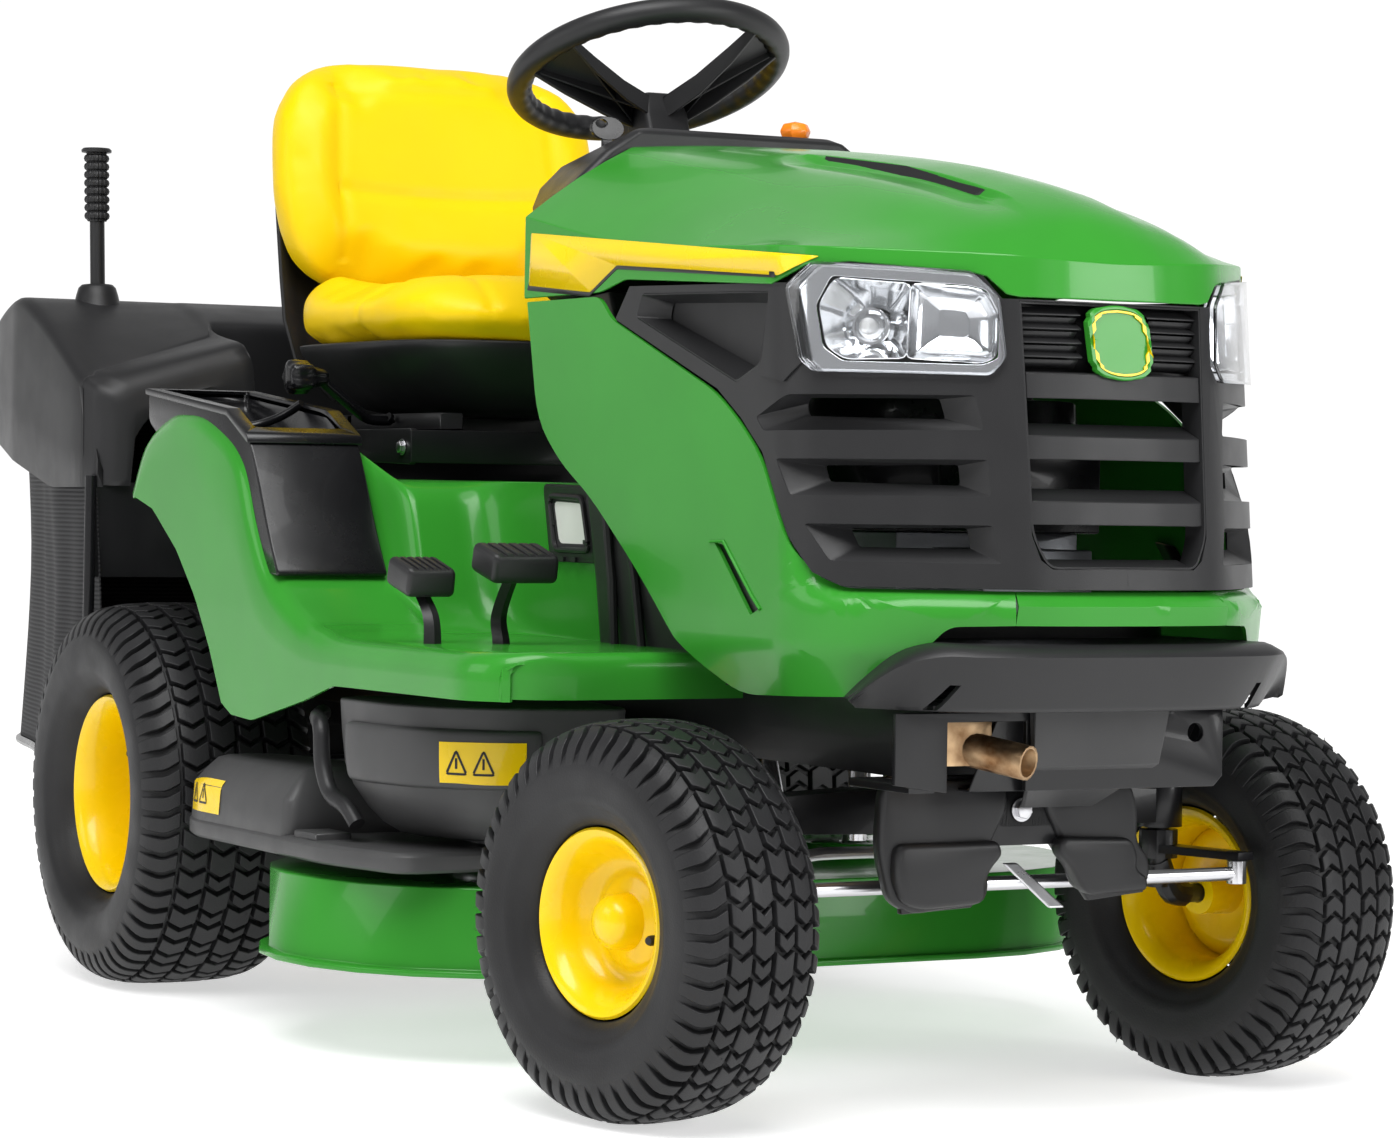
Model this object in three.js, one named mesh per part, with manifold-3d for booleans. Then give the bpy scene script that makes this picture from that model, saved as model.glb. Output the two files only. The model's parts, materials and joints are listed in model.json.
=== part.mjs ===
// Riding lawn mower with a rear grass hopper.
// Millimetres, +Z up, the machine faces -Y, its right-hand side is -X.
// The drawing is laid out from the middle of the wheelbase at ground level, and the whole machine is
// then moved along Y so that the origin is at the centre of its footprint.
import * as THREE from "three";
import { mergeVertices } from "three/addons/utils/BufferGeometryUtils.js";
import Module from "manifold-3d";

const wasm = await Module();
wasm.setup();

// ---------- driving dimensions ----------
const WHEELBASE = 1146;
const FRONT_Y = -WHEELBASE / 2;
const REAR_Y = WHEELBASE / 2;
const NOSE_Y = -905; // front of the bumper
const TAIL_Y = 1335; // back of the hopper
const FRONT_TYRE = { radius: 190.5, width: 152, rim: 90, bead: 76, track: 350 };
const REAR_TYRE = { radius: 227, width: 214, rim: 117, bead: 101, track: 378 };
const STEER_REST = 12; // degrees to the left, as the machine is drawn
const RIM_LIP = 0.7; // where the rim's flange stands, as a share of the tyre's half width
const WHEEL_SIDES = 26;
const KINGPIN_X = 255;
const STEER_ARM = 107;
const AXLE_Z = 285; // front axle pivot height
const HOOD_W = 262; // hood half width
const SKIN = 4; // pressed and moulded skins
const GAP = 0.6; // clearance between touching pieces
const COLUMN_TILT = 21.7; // steering column lean, degrees from vertical
const WHEEL_HUB = { y: 88, z: 1071 }; // centre of the steering wheel rim
const STEERING_R = 162;
const SECTOR_Y = -400;
const SECTOR_R = 186.5; // pitch radius of the sector's inner teeth
const STEER_RATIO = 8; // turns of the steering wheel per turn of the knuckles
const PINION_R = SECTOR_R / STEER_RATIO;
const DECK_Z = 95; // deck skirt above ground
const BLADE_X = 222;
const BLADE_L = 232; // blade half length
const DECK_Y = -22; // blade spindles along the machine
const SEAT_PIVOT = { y: 285, z: 648 };
const HOPPER = { front: 716, halfFront: 430, halfRear: 345, floor: 245, seam: 600 };
const KEY = { x: -112, y: -30 };
const SWITCH = { x: 91, y: -90 };
const THROTTLE = { x: 78, y: 0 };
const LEVER = { x: -330, y: 978, z: 812, lean: 9 };

const rad = THREE.MathUtils.degToRad;

// ---------- solids ----------
// A closed three.js geometry as a manifold solid.
function solid(geometry) {
  const bare = new THREE.BufferGeometry();
  const flat = geometry.index ? geometry.toNonIndexed() : geometry;
  bare.setAttribute("position", flat.getAttribute("position"));
  const merged = mergeVertices(bare, 1e-3);
  const made = new wasm.Manifold(
    new wasm.Mesh({
      numProp: 3,
      vertProperties: new Float32Array(merged.attributes.position.array),
      triVerts: new Uint32Array(merged.index.array),
    }),
  );
  return made;
}

// A solid's surface as a three.js geometry.
function geometryOf(made) {
  const mesh = made.getMesh();
  const positions = new Float32Array(mesh.numVert * 3);
  for (let i = 0; i < mesh.numVert; i++) {
    const from = i * mesh.numProp;
    positions.set(mesh.vertProperties.subarray(from, from + 3), i * 3);
  }
  const geometry = new THREE.BufferGeometry();
  geometry.setAttribute("position", new THREE.BufferAttribute(positions, 3));
  geometry.setIndex(new THREE.BufferAttribute(mesh.triVerts, 1));
  geometry.computeVertexNormals();
  return geometry;
}

const join = (first, ...rest) => rest.reduce((all, one) => all.add(one), first);
const cut = (first, ...rest) => rest.reduce((all, one) => all.subtract(one), first);
const common = (first, ...rest) => rest.reduce((all, one) => all.intersect(one), first);

function box(x0, x1, y0, y1, z0, z1) {
  const block = new THREE.BoxGeometry(x1 - x0, y1 - y0, z1 - z0);
  return solid(block.translate((x0 + x1) / 2, (y0 + y1) / 2, (z0 + z1) / 2));
}

// A round bar from one point to another, tapered if a second radius is given.
function bar(from, to, radius, sides = 14, endRadius = radius) {
  const a = new THREE.Vector3(...from);
  const b = new THREE.Vector3(...to);
  const along = b.clone().sub(a);
  const rod = new THREE.CylinderGeometry(endRadius, radius, along.length(), sides);
  const turn = new THREE.Quaternion().setFromUnitVectors(
    new THREE.Vector3(0, 1, 0),
    along.clone().normalize(),
  );
  rod.applyQuaternion(turn);
  const middle = a.add(b).multiplyScalar(0.5);
  return solid(rod.translate(middle.x, middle.y, middle.z));
}

// An outline drawn in the plane across an axis, extruded along that axis.
// Across x the points are (y, z), across y they are (x, z), across z they are (x, y).
function prism(axis, points, from, to) {
  const shape = new THREE.Shape(points.map(([a, b]) => new THREE.Vector2(a, b)));
  const depth = Math.abs(to - from);
  const body = new THREE.ExtrudeGeometry(shape, { depth, bevelEnabled: false });
  const turn = new THREE.Matrix4();
  const low = Math.min(from, to);
  if (axis === "x") turn.set(0, 0, 1, low, 1, 0, 0, 0, 0, 1, 0, 0, 0, 0, 0, 1);
  if (axis === "y") turn.set(1, 0, 0, 0, 0, 0, -1, low + depth, 0, 1, 0, 0, 0, 0, 0, 1);
  if (axis === "z") turn.makeTranslation(0, 0, low);
  return solid(body.applyMatrix4(turn));
}

// A solid through rings of the same number of points, each ring convex.
function loft(rings) {
  const count = rings[0].length;
  const positions = [];
  const tri = (a, b, c) => positions.push(...a, ...b, ...c);
  for (let r = 0; r + 1 < rings.length; r++) {
    for (let i = 0; i < count; i++) {
      const j = (i + 1) % count;
      tri(rings[r][i], rings[r][j], rings[r + 1][j]);
      tri(rings[r][i], rings[r + 1][j], rings[r + 1][i]);
    }
  }
  const first = rings[0];
  const last = rings[rings.length - 1];
  for (let i = 1; i + 1 < count; i++) {
    tri(first[0], first[i + 1], first[i]);
    tri(last[0], last[i], last[i + 1]);
  }
  const geometry = new THREE.BufferGeometry();
  geometry.setAttribute("position", new THREE.Float32BufferAttribute(positions, 3));
  const made = solid(geometry);
  if (made.volume() > 0) return made;
  return loft(rings.map((ring) => [...ring].reverse()));
}

// A solid of revolution about the X axis, its profile given as (radius, x) pairs.
function wheelTurned(profile, sides) {
  const points = profile.map(([r, x]) => new THREE.Vector2(r, x));
  const turned = new THREE.LatheGeometry(points, sides);
  turned.rotateZ(-Math.PI / 2);
  const made = solid(turned);
  if (made.volume() > 0) return made;
  return wheelTurned([...profile].reverse(), sides);
}

// A bar of constant round section along a smooth curve through the points.
function bentBar(points, radius, steps = 16, sides = 8) {
  const path = new THREE.CatmullRomCurve3(points.map((p) => new THREE.Vector3(...p)));
  const section = new THREE.Shape();
  section.absarc(0, 0, radius, 0, Math.PI * 2);
  const body = new THREE.ExtrudeGeometry(section, {
    steps,
    extrudePath: path,
    curveSegments: sides / 2,
    bevelEnabled: false,
  });
  return solid(body);
}

const moved = (made, x, y, z) => made.translate([x, y, z]);
const mirrored = (made) => made.mirror([1, 0, 0]);

// ---------- materials ----------
const paint = (color, roughness, metalness = 0) =>
  new THREE.MeshStandardMaterial({ color, roughness, metalness });
const FINISH = {
  green: paint(0x2f9e41, 0.25),
  yellow: paint(0xf6dc0a, 0.35),
  black: paint(0x2b2c2d, 0.5),
  plastic: paint(0x3a3b3d, 0.55),
  frame: paint(0x16171a, 0.45, 0.3),
  rubber: paint(0x1c1d1e, 0.8),
  steel: paint(0xb9bcc0, 0.3, 1),
  cast: paint(0x8c8f92, 0.5, 0.8),
  heat: paint(0xa88557, 0.45, 0.9),
  lens: paint(0xdfe4e8, 0.05),
  vinyl: paint(0xffe200, 0.45),
  fabric: paint(0x242528, 0.95),
  tank: paint(0xe9e9e6, 0.6),
  orange: paint(0xff8a1e, 0.45),
};

const machine = new THREE.Group();
const footprintCentre = (NOSE_Y + TAIL_Y) / 2;
machine.position.y = -footprintCentre;

function part(name, made, finish, group = machine) {
  const mesh = new THREE.Mesh(geometryOf(made), finish);
  mesh.name = name;
  group.add(mesh);
  return mesh;
}

// ---------- hood, side panels, grille ----------
// Stations along the hood: y, crown height, crease half width, crease height, shoulder height.
const HOOD_STATIONS = [
  [-138, 970, 137, 962, 882],
  [-320, 953, 142, 930, 860],
  [-520, 930, 149, 894, 843],
  [-700, 901, 156, 848, 828],
  [-800, 866, 160, 828, 821],
  [-860, 820, 160, 818, 817],
  [-920, 790, 160, 789, 788],
];
const HOOD_BASE_Z = 396;

// Half of the nose outline in plan: x, and how far back from the nose tip.
const NOSE_HALF = [
  [0, 0],
  [60, 3],
  [122, 20],
  [196, 84],
  [246, 142],
  [HOOD_W, 186],
];
// The nose leans: height and the tip's y there.
const NOSE_TIPS = [
  [HOOD_BASE_Z, -872],
  [500, -884],
  [720, -862],
  [990, -836],
];

function hoodBlock(inset) {
  const sections = HOOD_STATIONS.map(([y, crown, creaseX, crease, shoulder]) => {
    const back = y === HOOD_STATIONS[0][0] ? y + (inset ? 20 : 0) : y;
    const w = HOOD_W - inset;
    const base = HOOD_BASE_Z - (inset ? 20 : 0);
    return [
      [-w, back, base],
      [w, back, base],
      [w, back, shoulder - inset],
      [creaseX - inset / 2, back, crease - inset],
      [0, back, crown - inset],
      [-creaseX + inset / 2, back, crease - inset],
      [-w, back, shoulder - inset],
    ];
  });
  const outlines = NOSE_TIPS.map(([z, tip], index) => {
    const side = NOSE_HALF.map(([x, setback]) => [Math.min(x, HOOD_W - inset), tip + setback + inset]);
    const rear = HOOD_STATIONS[0][0] + 40;
    const right = side.map(([x, y]) => [x, y]);
    const left = side.slice(1).reverse().map(([x, y]) => [-x, y]);
    const height = index === 0 ? z - 30 : z;
    const ring = [...right, [HOOD_W - inset, rear], [-HOOD_W + inset, rear], ...left];
    return ring.map(([x, y]) => [x, y, height]);
  });
  return common(loft(sections), loft(outlines));
}

const hoodShell = cut(hoodBlock(0), hoodBlock(SKIN));
const hoodThick = cut(hoodBlock(0), hoodBlock(14));
const across = (points) => prism("x", points, -400, 400);
const rightHalf = box(-400, 0, -1000, 0, 300, 1100);
const leftHalf = box(0, 400, -1000, 0, 300, 1100);
const FRONT_PANEL = { x: 117, low: 478, high: 508 };
const LAMP = { x: 128, low: 710 };

function lampRegion(grow) {
  const outline = [
    [-686 + grow, 786 + grow],
    [-742, 802 + grow],
    [-826, 798 + grow],
    [-960, 780 + grow],
    [-960, LAMP.low - grow],
    [-738, LAMP.low - 3 - grow],
    [-698 + grow, 757 - grow],
  ];
  const sideways = [box(-400, -LAMP.x + grow, -1000, 0, 300, 1100)];
  sideways.push(box(LAMP.x - grow, 400, -1000, 0, 300, 1100));
  return common(across(outline), join(...sideways));
}

function hoodParts(group) {
  const topRegion = across([
    [-100, 1100],
    [-1000, 1100],
    [-1000, 779],
    [-846, 779],
    [-826, 800],
    [-742, 804],
    [-686, 789],
    [-368, 806],
    [-312, 795],
    [-100, 795],
  ]);
  const slot = box(-120, -40, -760, -540, 800, 1000);
  const slots = join(slot, mirrored(slot));
  const intake = common(slots, prism("x", [[-545, 900], [-735, 868], [-735, 960], [-545, 960]], -400, 400));
  part("hood_top", cut(common(hoodShell, topRegion), lampRegion(GAP), intake), FINISH.green, group);

  const sideRegion = across([
    [-146, 793],
    [-312, 793],
    [-338, 768],
    [-610, 677],
    [-668, 643],
    [-709, 588],
    [-744, 526],
    [-762, FRONT_PANEL.high],
    [-1000, FRONT_PANEL.high],
    [-1000, FRONT_PANEL.low],
    [-862, FRONT_PANEL.low],
    [-842, 452],
    [-818, 409],
    [-594, 403],
    [-498, 441],
    [-411, 512],
    [-299, 589],
    [-229, 624],
    [-174, 668],
  ]);
  const ventSlot = prism("x", [[-566, 546], [-584, 544], [-650, 484], [-636, 480]], -400, 400);
  const panels = cut(common(hoodShell, sideRegion), ventSlot);
  const inner = FRONT_PANEL.x;
  const rightSide = box(-400, -inner - GAP / 2, -1000, 0, 300, 1100);
  part("side_panel_right", common(panels, rightSide), FINISH.green, group);
  part("side_panel_left", common(panels, mirrored(rightSide)), FINISH.green, group);
  const middle = box(-inner + GAP / 2, inner - GAP / 2, -1000, -700, FRONT_PANEL.low, FRONT_PANEL.high);
  part("nose_panel", common(hoodShell, middle), FINISH.green, group);

  const grilleRegion = across([
    [-346, 769],
    [-374, 802],
    [-684, 786],
    [-826, 797],
    [-848, 776],
    [-1000, 776],
    [-1000, FRONT_PANEL.high + 2],
    [-764, FRONT_PANEL.high + 2],
    [-747, 528],
    [-712, 590],
    [-671, 646],
    [-612, 680],
  ]);
  const rows = [
    [540, 564],
    [595, 620],
    [662, 684],
  ];
  const windows = rows.flatMap(([low, high]) => [
    box(-92, 92, -1000, -760, low, high),
    box(-212, -128, -1000, -700, low, high),
    box(128, 212, -1000, -700, low, high),
  ]);
  const grille = cut(common(hoodThick, grilleRegion), lampRegion(1), ...windows);
  part("grille", grille, FINISH.plastic, group);

  const lampBlock = cut(hoodBlock(0), hoodBlock(34));
  const lamps = common(lampBlock, lampRegion(0));
  part("headlight_right", common(lamps, rightHalf), FINISH.lens, group);
  part("headlight_left", common(lamps, leftHalf), FINISH.lens, group);

  const badge = prism("y", roundedSquare(0, 741, 33, 34, 9), -880, -868);
  part("badge", cut(badge, hoodBlock(-GAP)), FINISH.green, group);
}

function roundedSquare(cx, cz, halfX, halfZ, radius, steps = 3) {
  const corners = [
    [1, 1, 0],
    [-1, 1, 90],
    [-1, -1, 180],
    [1, -1, 270],
  ];
  return corners.flatMap(([sx, sz, start]) =>
    Array.from({ length: steps + 1 }, (_, i) => {
      const angle = rad(start + (90 * i) / steps);
      const x = cx + sx * (halfX - radius) + radius * Math.cos(angle);
      return [x, cz + sz * (halfZ - radius) + radius * Math.sin(angle)];
    }),
  );
}

// ---------- chassis ----------
function frameRails() {
  const rail = (x) =>
    join(
      box(x - 3, x + 3, -800, 652, 332, 402),
      box(Math.min(x, x * 0.8), Math.max(x, x * 0.8), -800, 652, 396, 402),
    );
  const pivotPlates = [-612, -538].map((y) =>
    prism("y", [[-150, 340], [-60, 340], [-26, 262], [26, 262], [60, 340], [150, 340], [150, 396], [-150, 396]], y, y + 6),
  );
  const pin = bar([0, -607, AXLE_Z], [0, -535, AXLE_Z], 12);
  const crankHole = bar([0, -520, 390], [0, -520, 420], 22, 18);
  const engineTray = cut(box(-156, 156, -700, -330, 402, 406), crankHole);
  const sectorPlate = box(-156, 156, SECTOR_Y - 40, SECTOR_Y + 40, 334, 340);
  const crossBar = box(-156, 156, 270, 300, 380, 402);
  const rearPlate = cut(box(-210, 210, 650, 656, 300, 640), box(-128, 128, 640, 670, 330, 575));
  const hangers = [-206, 200].map((x) => box(x, x + 6, 655, 706, 560, 640));
  const plates = [...pivotPlates, engineTray, sectorPlate, crossBar, rearPlate, ...hangers];
  return join(rail(-156), rail(156), pin, ...plates);
}

function frontPlate() {
  const face = prism(
    "y",
    [[-206, 396], [-206, 330], [-150, 322], [150, 322], [160, 332], [160, 396]],
    -812,
    -806,
  );
  const towHole = bar([128, -830, 374], [128, -790, 374], 9);
  const exhaustGap = box(-150, -64, -820, -800, 318, 387);
  const stays = [-100, 92].map((x) => box(x, x + 8, -852, -806, 404, 455));
  const stayPlate = box(-100, 100, -812, -806, 390, 455);
  const bridge = box(-190, -162, -810, -702, 322, 330);
  const guard = prism(
    "y",
    [[-146, 330], [-150, 300], [-138, 200], [-60, 204], [-30, 262], [30, 262], [74, 206], [138, 212], [120, 322], [100, 330]],
    -716,
    -708,
  );
  const guardTop = box(-190, 100, -716, -702, 322, 330);
  return join(cut(join(face, bridge), towHole, exhaustGap), ...stays, stayPlate, guard, guardTop);
}

function bumper() {
  const outline = (inset, setback) => {
    const half = [
      [0, NOSE_Y + setback],
      [150, NOSE_Y + 10 + setback],
      [232, NOSE_Y + 62 + setback],
      [276 - inset, NOSE_Y + 128],
    ];
    const left = half.slice(1).reverse().map(([x, y]) => [-x, y]);
    return [...half, [276 - inset, NOSE_Y + 150], [-276 + inset, NOSE_Y + 150], ...left];
  };
  const levels = [
    [398, 24, 44],
    [402, 14, 34],
    [440, 0, 6],
    [458, 2, 0],
    [466, 8, 5],
  ];
  const rings = levels.map(([z, inset, setback]) => outline(inset, setback).map(([x, y]) => [x, y, z]));
  const hollow = levels.map(([z, inset, setback]) =>
    outline(inset + 8, setback + 10).map(([x, y]) => [x, y, z - 6]),
  );
  const hoodRoom = common(hoodBlock(-3), box(-300, 300, -1000, -600, 440, 500));
  const back = box(-266, 266, -780, -700, 300, 600);
  return cut(loft(rings), loft(hollow), back, hoodRoom);
}

function chassisParts() {
  part("frame", frameRails(), FINISH.frame);
  part("front_plate", frontPlate(), FINISH.frame);
  part("front_bumper", bumper(), FINISH.plastic);

  const crankcase = box(-105, 105, -640, -400, 407, 560);
  const cylinder = box(-62, 62, -730, -640, 430, 545);
  const fins = [448, 468, 488, 508, 528].map((z) => box(-72, 72, -725, -650, z, z + 5));
  const shaft = bar([0, -520, 330], [0, -520, 410], 11);
  part("engine_block", join(crankcase, cylinder, ...fins, shaft), FINISH.cast);
  const shroud = join(
    bar([0, -520, 561], [0, -520, 690], 165, 24, 150),
    box(-70, 70, -730, -620, 561, 640),
    bar([0, -520, 689], [0, -520, 712], 110, 24, 96),
  );
  part("engine_shroud", shroud, FINISH.black);

  const muffler = join(
    box(-150, -88, -790, -640, 345, 394),
    bar([-112, -770, 362], [-78, -838, 350], 16.5, 16),
  );
  const bore = bar([-106, -782, 360], [-74, -846, 348.6], 13.5, 16);
  part("muffler", cut(muffler, bore), FINISH.heat);

  const deflector = prism("x", [[-805, 392], [-786, 392], [-740, 319], [-722, 319], [-722, 316], [-742, 316], [-790, 388], [-805, 388]], -82, 148);
  part("heat_deflector", deflector, FINISH.frame);

  const rearAxleY = REAR_Y;
  const gearcase = join(
    bar([-120, rearAxleY, REAR_TYRE.radius], [120, rearAxleY, REAR_TYRE.radius], 62, 20),
    box(-70, 70, rearAxleY - 130, rearAxleY, 176, 286),
    bar([-235, rearAxleY, REAR_TYRE.radius], [235, rearAxleY, REAR_TYRE.radius], 27, 16),
    bar([0, rearAxleY - 95, 280], [0, rearAxleY - 95, 306], 44, 18),
  );
  const axleBore = bar([-260, rearAxleY, REAR_TYRE.radius], [260, rearAxleY, REAR_TYRE.radius], 10.5, 16);
  const ends = cut(axleBore, box(-150, 150, rearAxleY - 40, rearAxleY + 40, 150, 300));
  part("transaxle", cut(gearcase, ends), FINISH.cast);

  const tunnelOuter = [[318, 118], [380, 190], [424, 316], [600, 330], [700, 372], [700, 560], [560, 560], [430, 480], [318, 300]];
  const tunnelInner = [[310, 118], [375, 194], [419, 322], [599, 336], [720, 386], [720, 554], [561, 554], [433, 474], [310, 280]];
  part("grass_chute", cut(prism("x", tunnelOuter, -122, 122), prism("x", tunnelInner, -117, 117)), FINISH.black);

  part("battery", box(-95, 95, 305, 435, 490, 590), FINISH.black);
  part("fuel_tank", cut(box(170, 278, 140, 420, 470, 588), box(165, 235, 130, 200, 465, 520)), FINISH.tank);
}

// ---------- fender deck, seat platform, dash ----------
const FENDER = { outer: 440, inner: 282, foot: 436 };
const FENDER_TOP = [[-60, 438], [40, 452], [120, 492], [168, 548], [200, 606], [250, 648], [330, 674], [444, 676], [515, 648], [560, 590]];
const FENDER_ARCH = [[548, 582], [478, 566], [400, 520], [340, 468], [292, 410], [255, 352], [225, 340], [165, 337], [20, 366]];

function fenderSide() {
  const skinUnder = FENDER_TOP.map(([y, z], i) => {
    const [ya, za] = FENDER_TOP[Math.max(0, i - 1)];
    const [yb, zb] = FENDER_TOP[Math.min(FENDER_TOP.length - 1, i + 1)];
    const length = Math.hypot(yb - ya, zb - za);
    return [y + ((zb - za) / length) * SKIN, z - ((yb - ya) / length) * SKIN];
  });
  const skin = prism("x", [...FENDER_TOP, ...skinUnder.reverse()], -FENDER.outer, -FENDER.inner);
  const web = prism("x", [...FENDER_TOP, ...FENDER_ARCH, [-60, 386]], -FENDER.outer, -FENDER.outer + SKIN);
  const foot = prism("x", [[-60, 434], [-60, 438], [40, 452], [110, 486], [110, 434]], -FENDER.outer, -FENDER.inner);
  const boxHole = box(-432, -300.6, 100, 520, 480, 720);
  return cut(join(skin, web, foot), boxHole);
}

function fenderDeck() {
  const platform = prism("z", [[-400, -440], [400, -440], [436, -360], [436, 80], [-436, 80], [-436, -360]], FENDER.foot - SKIN, FENDER.foot);
  const flange = (x) => box(x, x + SKIN, -372, -58, 388, FENDER.foot);
  const toe = box(-400, 400, -444, -440, 402, FENDER.foot);
  const footHole = box(-200, 200, -470, -166, 400, 460);
  const wall = prism("x", [[60, 434], [64, 434], [124, 604], [120, 604]], -300, 300);
  const seatDeck = box(-300, 300, 120, 560, 600, 604);
  const cheeks = [-300, 300 - SKIN].map((x) => prism("x", [[60, 434], [330, 434], [380, 470], [560, 470], [560, 604], [120, 604]], x, x + SKIN));
  const tunnel = cut(
    prism("x", [[-168, 434], [100, 434], [118, 600], [-150, 596]], -176, 176),
    prism("x", [[-200, 420], [140, 420], [140, 596], [-200, 592]], -172, 172),
  );
  const side = fenderSide();
  const bridge = box(-FENDER.inner - 18, -FENDER.inner + 2, 200, 520, 596, 604);
  const shaftHole = box(-60, 60, -470, -80, 400, 700);
  const pedalHoles = [box(-402, -386, -230, -180, 420, 450), box(-328, -312, -240, -190, 420, 450)];
  const brakeHole = box(318, 334, -240, -190, 420, 450);
  const leverSlot = box(352, 366, 330, 480, 500, 720);
  const made = join(platform, flange(-436), flange(436 - SKIN), toe, wall, seatDeck, ...cheeks, tunnel);
  const full = join(made, side, mirrored(side), bridge, mirrored(bridge));
  return cut(full, footHole, shaftHole, ...pedalHoles, brakeHole, leverSlot);
}

function storageBox() {
  const outer = [[112, 500], [146, 548], [180, 612], [204, 646], [262, 674], [512, 702], [512, 668], [440, 628], [340, 512], [322, 500]];
  const inner = [[120, 506], [153, 548], [187, 610], [209, 640], [209, 720], [506, 720], [506, 672], [436, 633], [335, 516], [318, 506]];
  const lip = prism("x", [[200, 643], [204, 648], [262, 675], [512, 703], [512, 699], [262, 671]], -440, -300);
  const tub = prism("x", outer, -430, -302);
  return cut(join(tub, lip), prism("x", inner, -424, -308));
}

function dashParts() {
  const ring = (half, front, back, z) => [[-half, front, z], [half, front, z], [half, back, z], [-half, back, z]];
  const lower = loft([ring(188, -442, -182, 403), ring(196, -400, -176, 500), ring(208, -352, -160, 600.6)]);
  const upper = loft([ring(208, -352, -70, 600.6), ring(214, -340, -56, 640), ring(232, -270, 10, 800)]);
  const lowerRoom = loft([ring(182, -500, -188, 390), ring(190, -480, -182, 500), ring(202, -476, -166, 600)]);
  const upperRoom = loft([ring(202, -476, -76, 606), ring(208, -470, -62, 640), ring(226, -460, 4, 810)]);
  const passage = box(-196, 196, -480, -166, 590, 620);
  const column = bar(columnPoint(-760), columnPoint(-40), 24, 12);
  part("dash_tower", cut(join(lower, upper), lowerRoom, upperRoom, passage, column), FINISH.plastic);
  const collar = ([half, y, z], [backHalf, back, backZ]) => [[-half, y, z], [half, y, z], [backHalf, back, backZ], [-backHalf, back, backZ]];
  const consoleOuter = loft([
    collar([240, -134, 801], [224, 14, 801]),
    collar([238, -134, 880], [206, 50, 868]),
    collar([170, -134, 958], [150, 96, 930]),
    collar([132, -134, 984], [116, 84, 957]),
  ]);
  const consoleRoom = loft([
    collar([232, -150, 790], [214, 6, 790]),
    collar([228, -150, 876], [196, 42, 864]),
    collar([162, -150, 950], [142, 88, 924]),
    collar([126, -150, 977], [108, 76, 950]),
  ]);
  const keyHole = bar([KEY.x, KEY.y, 900], [KEY.x, KEY.y, 1000], 9, 12);
  const knobHole = bar([SWITCH.x, SWITCH.y, 900], [SWITCH.x, SWITCH.y, 1050], 9, 12);
  const throttleSlot = box(THROTTLE.x - 5, THROTTLE.x + 5, THROTTLE.y - 24, THROTTLE.y + 24, 900, 1050);
  part("dash_console", cut(consoleOuter, consoleRoom, column, keyHole, knobHole, throttleSlot), FINISH.plastic);
}

// A point on the steering column's axis, a distance up from the centre of the wheel's rim.
function columnPoint(up) {
  const lean = rad(COLUMN_TILT);
  return [0, WHEEL_HUB.y + Math.sin(lean) * up, WHEEL_HUB.z + Math.cos(lean) * up];
}

function bodyParts() {
  part("fender_deck", fenderDeck(), FINISH.green);
  part("storage_box", storageBox(), FINISH.black);
  dashParts();
  const pane = prism("x", [[-44, 594], [-130, 592], [-150, 526], [-62, 528]], -181, -176.6);
  part("fuel_window", pane, FINISH.tank);
}

// ---------- steering ----------
function steeringWheel() {
  const rim = solid(new THREE.TorusGeometry(STEERING_R - 14.5, 14.5, 8, 32));
  const spoke = (angle) => {
    const reach = STEERING_R - 18;
    const c = Math.cos(rad(angle));
    const s = Math.sin(rad(angle));
    const side = (w, r, z) => [c * r - s * w, s * r + c * w, z];
    return loft([
      [side(-22, 18, -62), side(22, 18, -62), side(22, 18, -44), side(-22, 18, -44)],
      [side(-15, reach * 0.6, -34), side(15, reach * 0.6, -34), side(15, reach * 0.6, -22), side(-15, reach * 0.6, -22)],
      [side(-20, reach, -7), side(20, reach, -7), side(20, reach, 5), side(-20, reach, 5)],
    ]);
  };
  const hub = cut(bar([0, 0, -92], [0, 0, -38], 30, 16), bar([0, 0, -100], [0, 0, -50], 9.6, 12));
  return join(rim, hub, spoke(-10), spoke(-130), spoke(110));
}

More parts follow.
